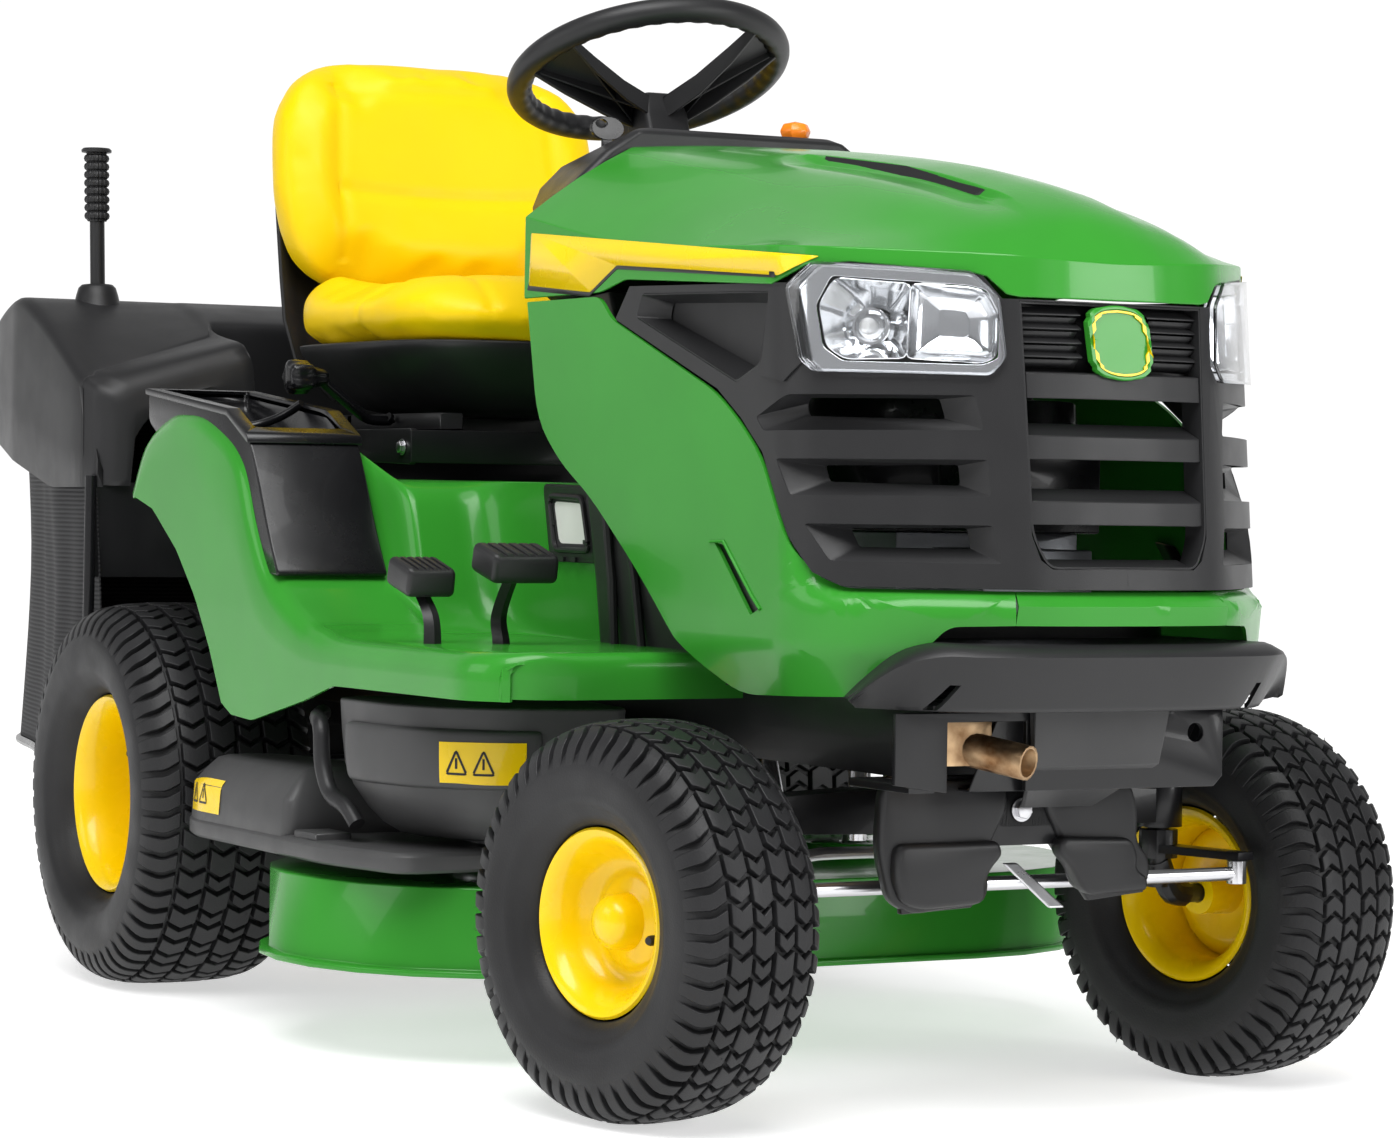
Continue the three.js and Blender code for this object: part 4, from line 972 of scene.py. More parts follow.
def tyre_profile(size):
    radius, half, rim, lip = size["radius"], size["half"], size["rim"], size["lip"]
    points = [
        (0, radius), (half * 0.3, radius - 0.5), (half * 0.58, radius - 3), (half * 0.78, radius - 9),
        (half * 0.92, radius - 21), (half * 0.985, radius * 0.82), (half, radius * 0.75),
        (half * 0.985, radius * 0.68), (half * 0.93, rim + 24), (half * 0.84, rim + 12), (lip + 6, rim + 5),
        (lip - 1, rim + 1.5),
    ]
    return smooth_line([(x, r, 0) for x, r in points], 5)


class Tyre:
    """Points of a tyre: run is the distance over the surface from the crown line, towards one side."""

    def __init__(self, size, centre, axis):
        self.size, self.centre, self.axis = size, Vector(centre), Vector(axis).normalized()
        self.up = Vector((0, 0, 1))
        self.forward = self.up.cross(self.axis)
        self.line = tyre_profile(size)
        self.runs = run_table(self.line)

    def point(self, run, angle, lift=0):
        side = 1 if run >= 0 else -1
        distance = min(abs(run), self.runs[-1])
        k = next(i for i in range(1, len(self.runs)) if self.runs[i] >= distance - 0.001)
        a, b = self.line[k - 1], self.line[k]
        spot = a.lerp(b, (distance - self.runs[k - 1]) / (self.runs[k] - self.runs[k - 1]))
        along = (b - a).normalized()
        x, radius = spot.x - along.y * lift, spot.y + along.x * lift
        out = math.sin(angle) * self.forward + math.cos(angle) * self.up
        return self.centre + self.axis * (side * x) + out * radius


def tyre_carcass(tyre):
    tread, shoulder = tyre.size["tread"], tyre.size["rows"][-1]
    end = tyre.runs[-1]
    section = []
    for k in range(31):
        run = end * k / 30
        lift = -tread * (1 - ease(run, shoulder - 26, shoulder + 2))
        lift += 1.6 * math.exp(-((run - end * 0.79) / 4) ** 2) + 1.0 * math.exp(-((run - end * 0.9) / 3) ** 2)
        section.append((run, lift))
    whole = section[::-1] + [(-run, lift) for run, lift in section[1:]]
    steps = 120
    rows = []
    for k in range(steps + 1):
        rows.append([tyre.point(run, 2 * math.pi * k / steps, lift) for run, lift in whole])
    return grid("carcass", rows)


def tread_block(points, faces, tyre, side, low, high, start, width, bend, columns):
    """One block: its leading and trailing edges follow bend(t) across the row."""
    first = len(points)
    flare = 0.9
    for level, lift in enumerate((0, -tyre.size["tread"])):
        spread = level * flare / tyre.size["radius"]
        for j in range(columns + 1):
            t = j / columns
            run = low + (high - low) * t
            run += level * flare * ((j == columns) - (j == 0))
            turn = start + bend(t)
            height = -0.3 if (level, j) == (0, columns) else lift
            points.append(tyre.point(side * run, turn - spread, height))
            points.append(tyre.point(side * run, turn + (width + spread), height))

    def corner(level, j, edge):
        return first + 2 * (level * (columns + 1) + j) + edge

    for j in range(columns):
        faces.append((corner(0, j, 0), corner(0, j, 1), corner(0, j + 1, 1), corner(0, j + 1, 0)))
        for edge in (0, 1):
            faces.append((
                corner(0, j, edge), corner(0, j + 1, edge), corner(1, j + 1, edge), corner(1, j, edge),
            ))
    for j in (0, columns):
        faces.append((corner(0, j, 0), corner(0, j, 1), corner(1, j, 1), corner(1, j, 0)))


def tyre_tread(tyre):
    """Turf tread: two rows of chevrons each side of a thin centre groove, then long shoulder lugs."""
    pitch = 2 * math.pi / tyre.size["pitches"]
    a, b, c, d, e, f = tyre.size["rows"]

    def chevron(t):
        return pitch * 0.17 * (1 - abs(2 * t - 1))

    def lean(t):
        return pitch * (0.17 * min(1, t * 3.2) - 0.05 * max(0, t - 0.3))

    # Each block: its row, its start and width in pitches, its bend and how finely it is divided.
    blocks = (
        (a, b, 0, 0.5, chevron, 6), (a + 3, b - 1, 0.62, 0.25, chevron, 6), (c, d, 0.5, 0.42, chevron, 6),
        (c + 1, d, 1.05, 0.3, chevron, 6), (e, f, 0.12, 0.33, lean, 8), (e, f, 0.62, 0.33, lean, 8),
    )
    points, faces = [], []
    for side in (1, -1):
        shift = 0 if side > 0 else pitch * 0.5
        for k in range(tyre.size["pitches"]):
            start = k * pitch + shift
            for low, high, offset, width, bend, columns in blocks:
                tread_block(
                    points, faces, tyre, side, low, high, start + pitch * offset, pitch * width, bend,
                    columns,
                )
    made = mesh_object("tread", points, faces)
    face_outwards(made)
    return made


def tyre_hairs(name, tyre):
    """The fine rubber hairs a new tyre keeps from its mould; none where it meets the ground."""
    points, faces = [], []
    for _ in range(tyre.size["hairs"]):
        run = random.uniform(-0.62, 0.62) * tyre.runs[-1]
        angle = random.uniform(0, 2 * math.pi)
        if abs(math.cos(angle) + 1) < 0.12:
            continue
        root = tyre.point(run, angle, -0.5)
        tip = tyre.point(
            run + random.uniform(-4, 4), angle + random.uniform(-0.02, 0.02), random.uniform(3, 6),
        )
        first = len(points)
        for k in range(3):
            turn = 2 * math.pi * k / 3
            points.append(root + 0.55 * (math.cos(turn) * tyre.forward + math.sin(turn) * tyre.axis))
        points.append(tip)
        faces += [[first + k for k in corners] for corners in ((0, 1, 3), (1, 2, 3), (2, 0, 3), (0, 2, 1))]
    return mesh_object(name, points, faces)


FRONT_RIM = [
    (0, 52.4), (12, 51), (21, 46.5), (25.5, 39), (26.5, 30), (28, 22), (33, 19.5), (41, 18.5), (45, 15),
    (49, 12.5), (57, 14), (64, 20), (69, 29), (72.5, 40), (77, 49), (83, 55), (87.5, 56.2), (90, 53.5),
    (88.5, 50), (80, 46), (76, 42), (76, -42), (80, -46), (88.5, -50), (90, -53.5), (87.5, -56.2),
    (83, -55), (77, -49), (71.5, -40), (69, 14), (62, 6), (50, 4), (36, 8), (24, 8), (22, -35), (10.6, -35),
    (10.6, -33), (0, -33),
]
REAR_RIM = [
    (0, 20), (13, 20), (15, 22), (22, 21), (25, 17), (26, 2), (30, -4), (44, -11), (62, -15), (78, -12),
    (88, -2), (93, 14), (96, 40), (99, 62), (104, 72), (110, 78), (114.5, 79), (117, 75.5), (115, 71.5),
    (106, 67), (101, 60), (101, -60), (106, -67), (115, -71.5), (117, -75.5), (114.5, -79), (110, -78),
    (104, -72), (97, -62), (91, -6), (78, -19), (62, -22), (44, -18), (26, -12), (24, -58), (10.5, -58),
    (10.5, -56), (0, -56),
]


VALVE = [(0, -2), (7, -2), (6.4, 4), (4.6, 7), (4.2, 19), (4.9, 19.5), (4.9, 31), (3.6, 34), (0, 34)]


def wheel(kind, name, size, rim_profile, axis):
    where = (kind, name)
    body = "%s_wheel_%s" % where
    centre = middle("%s_tyre_%s" % where) / MM
    centre.y -= AXLES_MID_Y / MM
    tyre = Tyre(size, centre, axis)
    rubber = joined("tyre_%s_%s" % where, [tyre_carcass(tyre), tyre_tread(tyre)])
    bevel(rubber, 1.1, 1, 50)
    place(rubber, body, "tyre_rubber", ("%s_tyre_%s" % where,))
    place(tyre_hairs("tyre_hairs_%s_%s" % where, tyre), body, "tyre_rubber")
    disc = lathe("wheel_%s_%s" % where, rim_profile, centre, axis, 96)
    place(disc, body, "yellow_paint", ("%s_rim_%s" % where,))
    disc.data.set_sharp_from_angle(angle=math.radians(50))
    out, up = Vector(axis).normalized(), Vector((0, 0, 1))
    across = up.cross(out)
    reach, depth, degrees = size["valve"]
    angle = math.radians(degrees)
    foot = centre + (math.cos(angle) * up + math.sin(angle) * across) * reach + out * depth
    stem = lathe("tyre_valve_%s_%s" % where, VALVE, foot, out + 0.25 * across, 20)
    place(stem, body, "black_plastic")


def wheels():
    random.seed(7)
    for side, name in SIDES:
        turned_axis = (side * math.cos(STEER_REST), side * math.sin(STEER_REST), 0)
        wheel("front", name, FRONT, FRONT_RIM, turned_axis)
        wheel("rear", name, REAR, REAR_RIM, (side, 0, 0))


wheels()


# ---------- shared shapes of the body ----------
def mixed(first, second, share):
    """Two lists of number tuples blended point by point."""
    return [tuple(a + (b - a) * share for a, b in zip(p, q)) for p, q in zip(first, second)]


def turn_to(piece, direction):
    """An open skin faces the way given."""
    aim = Vector(direction)
    if sum(face.normal.dot(aim) * face.area for face in piece.data.polygons) < 0:
        piece.data.flip_normals()
    return piece


def flat_normals(line):
    """Unit normals of a flat line, on its left-hand side as it runs."""
    normals = []
    for i in range(len(line)):
        along = Vector(line[min(i + 1, len(line) - 1)]) - Vector(line[max(i - 1, 0)])
        normals.append(Vector((-along.y, along.x)).normalized())
    return normals


def draped_skin(name, stations, profile, edge, lower, shape, steps=5):
    """A pressed skin, alike on both sides: across it the profile changes with the station, and at its
    edge (half width, radius) it rounds over and hangs down to the lower line. shape(x, y) moves a point."""
    half, radius = edge
    inner = [(x, profile(x), 0.0) for x in stations]
    outer = profile(half)
    for angle in (0, 22, 44, 66, 90):
        turn = math.radians(angle)
        inner.append((half - radius + radius * math.sin(turn), outer, radius * (1 - math.cos(turn))))
    rows = []
    for x, line, drop in inner:
        fine = smooth_line(line, steps)
        normals = flat_normals(fine)
        rows.append([(x, p.x - n.x * drop, p.y - n.y * drop) for p, n in zip(fine, normals)])
    hem = rows[-1]
    for share in (0.3, 0.65, 1.0):
        rows.append([(half, y, z + (min(z, between(y, lower)) - z) * share) for _, y, z in hem])
    right = [[(-shape(x, y)[0], shape(x, y)[1], z) for x, y, z in row] for row in reversed(rows)]
    left = [[(*shape(x, y), z) for x, y, z in row] for row in rows[1:]]
    skin_piece = grid(name, right + left)
    return turn_to(skin_piece, (0, -0.4, 1))


def cut_out(piece, cutters):
    """The cutters are taken away from the piece, and removed."""
    for cutter in cutters:
        knife = piece.modifiers.new("cut", "BOOLEAN")
        knife.operation = "DIFFERENCE"
        knife.solver = "EXACT"
        knife.object = cutter
    settle(piece)
    for cutter in cutters:
        bpy.data.objects.remove(cutter)


def block(name, low, high):
    (x0, y0, z0), (x1, y1, z1) = low, high
    return slab(name, [(x0, y0), (x1, y0), (x1, y1), (x0, y1)], "z", z0, z1)


def beam(name, start, end):
    """A solid between two rings of points."""
    return grid(name, [start, end], closed=True, caps=True)


def superellipse(half_x, half_y, power, centre_y, z):
    steps = 40
    ring = []
    for k in range(steps):
        angle = 2 * math.pi * k / steps
        c, s = math.cos(angle), math.sin(angle)
        x = half_x * math.copysign(abs(c) ** (2 / power), c)
        y = half_y * math.copysign(abs(s) ** (2 / power), s)
        ring.append((x, centre_y + y, z))
    return ring


# ---------- the green fender deck ----------
FRONT_EDGE = [(-440, 390), (-440.5, 418), (-437, 431), (-428, 436), (-412, 436), (-388, 436), (-358, 436)]
FENDER = FRONT_EDGE + [
    (-200, 436), (-60, 437), (0, 444), (40, 454), (120, 492), (168, 548), (200, 606),
    (225, 632), (262, 652), (330, 674), (390, 680), (444, 676), (515, 648), (560, 590),
]
SEAT_WALL = FRONT_EDGE + [
    (-200, 436), (-60, 436), (10, 436), (40, 440), (66, 462), (84, 508), (104, 566),
    (116, 588), (134, 600), (170, 604), (300, 604), (440, 604), (520, 604), (560, 604),
]
TUNNEL = FRONT_EDGE + [
    (-300, 436), (-235, 436), (-208, 437), (-190, 444), (-180, 466), (-172, 510), (-163, 566),
    (-156, 588), (-144, 598), (-120, 602), (100, 604), (350, 604), (500, 604), (560, 604),
]
FENDER_HEM = [
    (-440, 388), (-60, 386), (20, 366), (165, 337), (225, 340), (255, 352), (292, 410),
    (340, 468), (400, 520), (478, 566), (548, 582), (560, 588),
]
DECK_HALF = 440
DECK_FRONT_Y = -440
DECK_CORNER = 80
TUNNEL_SIDE = [
    (176, 1.0), (176.4, 0.6), (177, 0.34), (179, 0.22), (184, 0.12), (192, 0.05), (205, 0.01), (225, 0.0),
]


def deck_line(x):
    if x < 228:
        return mixed(SEAT_WALL, TUNNEL, 1.0 if x < 176 else between(x, TUNNEL_SIDE))
    return mixed(SEAT_WALL, FENDER, ease(x, 274, 304))


def deck_corner(x, y):
    """The front corners of the foot platform are rounded in plan."""
    into = max(0, min(DECK_CORNER, DECK_FRONT_Y + DECK_CORNER - y))
    half = DECK_HALF - DECK_CORNER + math.sqrt(DECK_CORNER * DECK_CORNER - into * into)
    return x * half / DECK_HALF, y


def fender_deck():
    stations = [0, 90, 160, *[x for x, _ in TUNNEL_SIDE], 250, 268]
    stations += [274 + 30 * k / 8 for k in range(9)] + [325, 360, 395]
    deck = draped_skin("fender_skin", stations, deck_line, (DECK_HALF, 22), FENDER_HEM, deck_corner)
    thicken(deck, 3.5, even=False)
    settle(deck)
    tray_room = block("tray_room", (-424, 140, 480), (-308, 500, 720))
    lever_slot = rounded([(353, 318), (365, 318), (365, 476), (353, 476)], 4)
    cut_out(deck, [tray_room, slab("lever_room", lever_slot, "z", 600, 720)])
    bevel(deck, 1.2, 2, 50)
    place(deck, "chassis", "green_paint", ["fender_deck"])


# ---------- black storage tray set into the right fender ----------
def storage_box():
    outer = rounded(
        [
            (112, 496), (146, 548), (180, 612), (204, 650), (262, 678), (516, 704), (516, 668), (440, 628),
            (340, 512),
        ],
        [10, 30, 40, 30, 30, 8, 10, 20, 20], 5,
    )
    tub = slab("tray_tub", outer, "x", -432, -301)
    bevel(tub, 13, 5, 60)
    rim_line = [(196, 641), (199, 652), (262, 681.5), (517, 707.5), (517, 700), (262, 673)]
    rim = slab("tray_rim", rounded(rim_line, 4, 3), "x", -436, -298)
    bevel(rim, 3, 3, 40)
    inner = rounded(
        [
            (150, 530), (190, 600), (216, 655), (216, 760), (500, 760), (500, 684), (432, 640), (338, 526),
            (318, 514),
        ],
        [14, 30, 8, 0, 0, 8, 20, 20, 20], 5,
    )
    for piece in (tub, rim):
        settle(piece)
        inside = slab("tray_inside", inner, "x", -420, -314)
        bevel(inside, 9, 4, 60)
        settle(inside)
        cut_out(piece, [inside])
    whole = joined("storage_tray", [tub, rim])
    bevel(whole, 2.5, 3, 45)
    place(whole, "chassis", "black_gloss", ["storage_box"])
    ledge_line = [(-316, 330, 690), (-330, 352, 676), (-356, 372, 664), (-392, 380, 660), (-418, 378, 662)]
    place(sweep("tray_ledge", smooth_line(ledge_line, 5), 5), "chassis", "black_gloss")


# ---------- seat ----------
# The front face of the backrest starts at this y and z and leans back by this much per millimetre up.
BACKREST_Y, BACKREST_Z, BACKREST_LEAN = 598, 836, 0.186
VOXEL = 7
# The cloth runs for this many frames.
CLOTH_STEPS = 20


def stuffed(name, shape):
    """A start shape for a cushion: an evenly meshed box with full corners, moved by shape(a, b, c)."""
    bm = bmesh.new()
    bmesh.ops.create_cube(bm, size=2)
    bmesh.ops.subdivide_edges(bm, edges=bm.edges, cuts=14, use_grid_fill=True)
    for vertex in bm.verts:
        a, b, c = vertex.co
        reach = (abs(a) ** 4 + abs(b) ** 4 + abs(c) ** 4) ** -0.25
        vertex.co = at(*shape(a * reach, b * reach, c * reach))
    piece = finished(name, bm)
    even = piece.modifiers.new("even", "REMESH")
    even.mode = "VOXEL"
    even.voxel_size = VOXEL * MM
    settle(piece)
    return piece


def blow_up(piece, pressure, most):
    """The skin is blown up as cloth; no point ends further than most millimetres from where it began."""
    start = [vertex.co.copy() for vertex in piece.data.vertices]
    cloth = piece.modifiers.new("cloth", "CLOTH")
    cloth.settings.use_pressure = True
    cloth.settings.uniform_pressure_force = pressure
    cloth.settings.quality = 6
    cloth.settings.tension_stiffness = 25
    cloth.settings.compression_stiffness = 25
    cloth.settings.bending_stiffness = 2
    cloth.settings.effector_weights.gravity = 0
    cloth.point_cache.frame_end = CLOTH_STEPS
    for step in range(1, CLOTH_STEPS + 1):
        bpy.context.scene.frame_set(step)
    settle(piece)
    bpy.context.scene.frame_set(1)
    for vertex, begin in zip(piece.data.vertices, start):
        travel = vertex.co - begin
        if travel.length > most * MM:
            vertex.co = begin + travel.normalized() * most * MM


def fitted(piece, low, high):
    """The piece is scaled to lie between two corners, and its small wrinkles are eased."""
    ease_out = piece.modifiers.new("ease", "SMOOTH")
    ease_out.factor = 0.5
    ease_out.iterations = 7
    settle(piece)
    points = [vertex.co for vertex in piece.data.vertices]
    for axis in range(3):
        least = min(point[axis] for point in points)
        most = max(point[axis] for point in points)
        for point in points:
            point[axis] = low[axis] + (point[axis] - least) / (most - least) * (high[axis] - low[axis])


def crease(piece, depth_at):
    """Sewn lines: each point sinks along its normal by depth_at(x, y, z) millimetres."""
    subdivide(piece)
    settle(piece)
    moves = []
    for vertex in piece.data.vertices:
        x, y, z = vertex.co.x / MM, (vertex.co.y - AXLES_MID_Y) / MM, vertex.co.z / MM
        moves.append(vertex.normal * -depth_at(x, y, z) * MM)
    for vertex, move in zip(piece.data.vertices, moves):
        vertex.co += move


def line_depth(distance, depth, width):
    return depth * math.exp(-((distance / width) ** 2))


def cushion_shape(a, b, c):
    x = a * (211 - 10 * max(0, b) ** 2)
    y = 424 + b * 226
    swell = 1 - abs(a) ** 3
    bolster = 30 * math.exp(-(((y - 606) / 95) ** 2)) * ease(abs(a), 0.45, 0.8)
    bolster += 8 * math.exp(-(((y - 250) / 110) ** 2))
    z = 792 + c * 31 + (max(0, c) * (bolster - 3 * swell))
    z -= 15 * max(0, -b - 0.72) / 0.28 * (1 if c > 0 else 0.2)
    return x, y, z


def backrest_half(z):
    return between(z, [(836, 178), (880, 203), (960, 211), (1040, 207), (1090, 194), (1124, 170)])


def backrest_shape(a, b, c):
    z = 980 + c * 139
    half = backrest_half(z) * (0.965 if abs(c) < 0.99 else 0.9)
    wrap = 20 * ease(abs(a), 0.62, 1.0)
    y = BACKREST_Y + (z - BACKREST_Z) * BACKREST_LEAN + 48 + b * 33 - (wrap if b < 0 else wrap * 0.4)
    y += 9 * max(0, 1 - abs(z - 900) / 60) * (-1 if b < 0 else 0) * (1 - abs(a))
    return a * half, y, z


def seat():
    cushion = stuffed("seat_cushion_skin", cushion_shape)
    backrest = stuffed("seat_backrest_skin", backrest_shape)
    for piece in (cushion, backrest):
        blow_up(piece, 4.0, 14)
    fitted(cushion, at(-226, 188, 754), at(226, 656, 851))
    fitted(backrest, at(-217, 594, 834), at(217, 742, 1126))

    def cushion_lines(x, y, z):
        side_line = line_depth(abs(abs(x) - 138), 2.4, 8) if z > 800 else 0
        cross = line_depth(abs(y - 372 - 0.05 * abs(x)), 2.0, 9) if abs(x) > 130 and z > 775 else 0
        middle_line = line_depth(abs(y - 455), 2.2, 10) if abs(x) < 138 and z > 800 else 0
        return side_line + cross + middle_line

    def backrest_lines(x, y, z):
        if y >= BACKREST_Y + (z - BACKREST_Z) * BACKREST_LEAN + 40:
            return 0
        lumbar = line_depth(abs(z - 955 - 0.00035 * x * x), 3.0, 9) if abs(x) < 150 else 0
        side_line = line_depth(abs(abs(x) - 148 + abs(z - 975) * 0.06), 2.6, 9) if 872 < z < 1095 else 0
        top_line = line_depth(abs(z - 1088), 2.0, 9) if abs(x) < 140 else 0
        return lumbar + side_line + top_line

    crease(cushion, cushion_lines)
    crease(backrest, backrest_lines)
    place(cushion, "seat", "seat_vinyl", ["seat_cushion"])
    place(backrest, "seat", "seat_vinyl", ["seat_backrest"])


def seat_shell():
    """The moulded pan under the cushion, and the curved shell behind the backrest."""
    rings = []
    for z, half_x, half_y, y in (
        (684, 112, 146, 452), (690, 140, 168, 450), (708, 168, 190, 446), (726, 190, 208, 443),
        (742, 207, 221, 440), (755, 218, 228, 437), (766, 222, 231, 436),
    ):
        rings.append(superellipse(half_x, half_y, 4.2, y, z))
    pan = grid("seat_pan_bowl", rings, closed=True, caps=True)
    bevel(pan, 4, 3, 40)
    rows = []
    for z, back in ((700, 652), (726, 662), (752, 672), (800, 688), (850, 700), (940, 717), (1040, 736),
                    (1078, 743), (1096, 744)):
        half = min(205, 150 + (z - 700) * 0.9) if z < 1000 else between(
            z, [(1000, 203), (1040, 193), (1078, 160), (1096, 124)],
        )
        row = []
        for k in range(17):
            share = -1 + k / 8
            wrap = 34 * max(0, (abs(share) - 0.72) / 0.28) ** 2
            row.append((half * share, back - wrap, z))
        rows.append(row)
    back_skin = turn_to(grid("seat_back_shell", rows), (0, 1, 0))
    thicken(back_skin, 6, 0, even=False)
    bevel(back_skin, 2, 2, 50)
    settle(back_skin)
    runners = [block("runner", (x - 15, 290, 663), (x + 15, 590, 683)) for x in (-145, 145)]
    runners.append(block("runner_stop", (-160, 545, 663), (160, 560, 683)))
    for piece in runners:
        bevel(piece, 2, 2)
    whole = joined("seat_pan_shell", [pan, back_skin, *runners])
    place(whole, "seat", "black_plastic", ["seat_pan"])


def coil(name, foot, radius, height, turns, wire):
    x, y, z = foot
    steps = turns * 14
    line = []
    for k in range(steps + 1):
        angle = 2 * math.pi * turns * k / steps
        line.append((x + radius * math.cos(angle), y + radius * math.sin(angle), z + height * k / steps))
    return sweep(name, line, wire, 8)


def seat_fittings():
    for side, word in SIDES:
        spring = coil("seat_spring_" + word, (side * 178, 500, 608), 20, 46, 5, 4)
        place(spring, "chassis", "black_gloss")
    for side, word in SIDES:
        bolt("seat_hinge_bolt_" + word, (side * 206.5, 290, 642), (side, 0, 0), 9, "seat_base")
    lobes = []
    for k in range(30):
        angle = 2 * math.pi * k / 30
        lobes.append((19 + 2.5 * math.cos(5 * angle), angle))
    knob_y, knob_z = 385, 722
    knob_steps = (
        (-312, 0.72), (-308, 0.95), (-300, 1.0), (-286, 0.96), (-279, 0.62), (-268, 0.5), (-262, 0.42),
    )
    rows = []
    for x, share in knob_steps:
        rows.append([
            (x, knob_y + radius * share * math.cos(angle), knob_z + radius * share * math.sin(angle))
            for radius, angle in lobes
        ])
    knob = grid("seat_latch_grip", rows, closed=True, caps=True)
    bevel(knob, 1.2, 2, 40)
    stem = sweep(
        "seat_latch_stem",
        rounded([(-161, 415, 674), (-196, 415, 674), (-230, 400, 694), (-272, 385, 721)], 12), 6,
    )
    place(joined("seat_latch_knob", [knob, stem]), "seat", "black_gloss", ["seat_latch"])


# ---------- steering wheel ----------
WHEEL_TILT = math.radians(21.7)
WHEEL_Y, WHEEL_Z = 88, 1071
# A spoke's steps: distance from the hub, half width, height of its face and depth of its side walls.
SPOKE = ((16, 17, -44, 26), (60, 22, -32, 24), (105, 30, -15, 20), (141, 38, -1, 12))


def on_wheel(x, y, z):
    """A point of the steering wheel's own frame: z along the column, from the centre of the rim."""
    c, s = math.cos(WHEEL_TILT), math.sin(WHEEL_TILT)
    return x, WHEEL_Y + y * c + z * s, WHEEL_Z - y * s + z * c


def steering_wheel():
    rows = []
    around = 180
    for k in range(around):
        angle = 2 * math.pi * k / around
        row = []
        for i in range(20):
            turn = 2 * math.pi * i / 20
            inside = max(0, -math.cos(turn)) ** 0.5
            tube = 14.5 - 1.9 * inside * (0.5 + 0.5 * math.cos(angle * 40))
            radius = 147.5 + tube * math.cos(turn)
            row.append(on_wheel(radius * math.cos(angle), radius * math.sin(angle), tube * math.sin(turn)))
        rows.append(row)
    rows.append(rows[0])
    pieces = [grid("wheel_rim", rows, closed=True)]
    hub = []
    for half_x, half_y, up in ((27, 25, -92), (27, 25, -64), (23, 22, -40), (20, 19, -37)):
        plan = rounded([(-half_x, -half_y), (half_x, -half_y), (half_x, half_y), (-half_x, half_y)], 6)
        hub.append([on_wheel(x, y, up) for x, y in plan])
    pieces.append(grid("wheel_hub", hub, closed=True, caps=True))
    for angle in (-47, -167, 73):
        c, s = math.cos(math.radians(angle)), math.sin(math.radians(angle))

        def strip(name, steps):
            """A bar along the spoke; a step is the distance out, the two sides across, top and foot."""
            rings = []
            for out, near, far, top, foot in steps:
                ring = ((near, top), (far, top), (far, foot), (near, foot))
                rings.append([
                    on_wheel(c * out - s * across, s * out + c * across, up) for across, up in ring
                ])
            pieces.append(grid(name, rings, closed=True, caps=True))

        strip("face", [(out, -half, half, top, top - 3) for out, half, top, _ in SPOKE])
        for side in (1, -1):
            strip(
                "flank",
                [(out, side * half, side * (half - 4), top, top - deep) for out, half, top, deep in SPOKE],
            )
        for side in (1, -1):
            strip("rib", [(26, side * 15, side * 12, -44, -62), (134, -side * 31, -side * 34, -4, -13)])
    whole = joined("steering_wheel_skin", pieces)
    bevel(whole, 1, 2, 50)
    place(whole, "steering", "black_plastic", ["steering_wheel"])
    hub_point = Vector(on_wheel(0, 0, 0))
    collar_line = [(0, -128), (21, -128), (24, -120), (24, -98), (20, -93), (0, -93)]
    collar = lathe("column_collar", collar_line, hub_point, Vector(on_wheel(0, 0, 1)) - hub_point, 32)
    place(collar, "steering", "black_plastic")


# ---------- controls on the dash ----------
POD_X = 86
KEY_X = -112
KNOB_FOOT = (91, -90, 984)


def dash_fittings():
    rings = []
    for z, half_x, front, back in (
        (944, 62, -128, -52), (968, 60, -124, -54), (979, 56, -120, -60), (983, 50, -115, -66),
    ):
        middle_y, half_y = (front + back) / 2, (back - front) / 2
        plan = rounded([(-half_x, -half_y), (half_x, -half_y), (half_x, half_y), (-half_x, half_y)], 16, 5)
        rings.append([(POD_X + x, middle_y + y, z) for x, y in plan])
    pod = grid("switch_pod", rings, closed=True, caps=True)
    bevel(pod, 2, 3, 50)
    place(pod, "chassis", "black_plastic")
    collar = lathe(
        "key_collar", [(0, 0), (17, 0), (17, 5), (12, 8), (7.5, 8), (7.5, 4), (0, 4)], (KEY_X, -30, 946),
        (-0.35, -0.2, 1), 32,
    )
    place(collar, "chassis", "black_gloss")
    facets = [(0, 0), (13, 0), (15, 3), (18, 11), (14, 19), (0, 22)]
    knob = lathe("blade_knob_head", facets, KNOB_FOOT, (0, 0, 1), 6)
    stem = lathe("blade_knob_stem", [(0, -26), (6, -26), (6, 1), (0, 1)], KNOB_FOOT, (0, 0, 1), 20)
    bevel(knob, 1.5, 3, 20)
    place(joined("blade_knob", [knob, stem]), "blade_switch", "orange_plastic", ["blade_switch_knob"])


def oval(x, z, half_x, half_z, count):
    turns = [2 * math.pi * k / count for k in range(count)]
    return [(x + half_x * math.cos(turn), z + half_z * math.sin(turn)) for turn in turns]


def key():
    """A plain oval head with a hole for the ring, on its blade."""
    plate = slab("key_bow", oval(KEY_X, 991, 20, 13, 28), "y", -33, -27)
    cut_out(plate, [slab("key_hole", oval(-120, 996, 7, 4.5, 20), "y", -40, -20)])
    blade = block("key_blade", (-118, -32, 940), (-106, -28, 984))
    whole = joined("key_plate", [plate, blade])
    bevel(whole, 1, 2, 40)
    place(whole, "key", "black_gloss", ["ignition_key"])


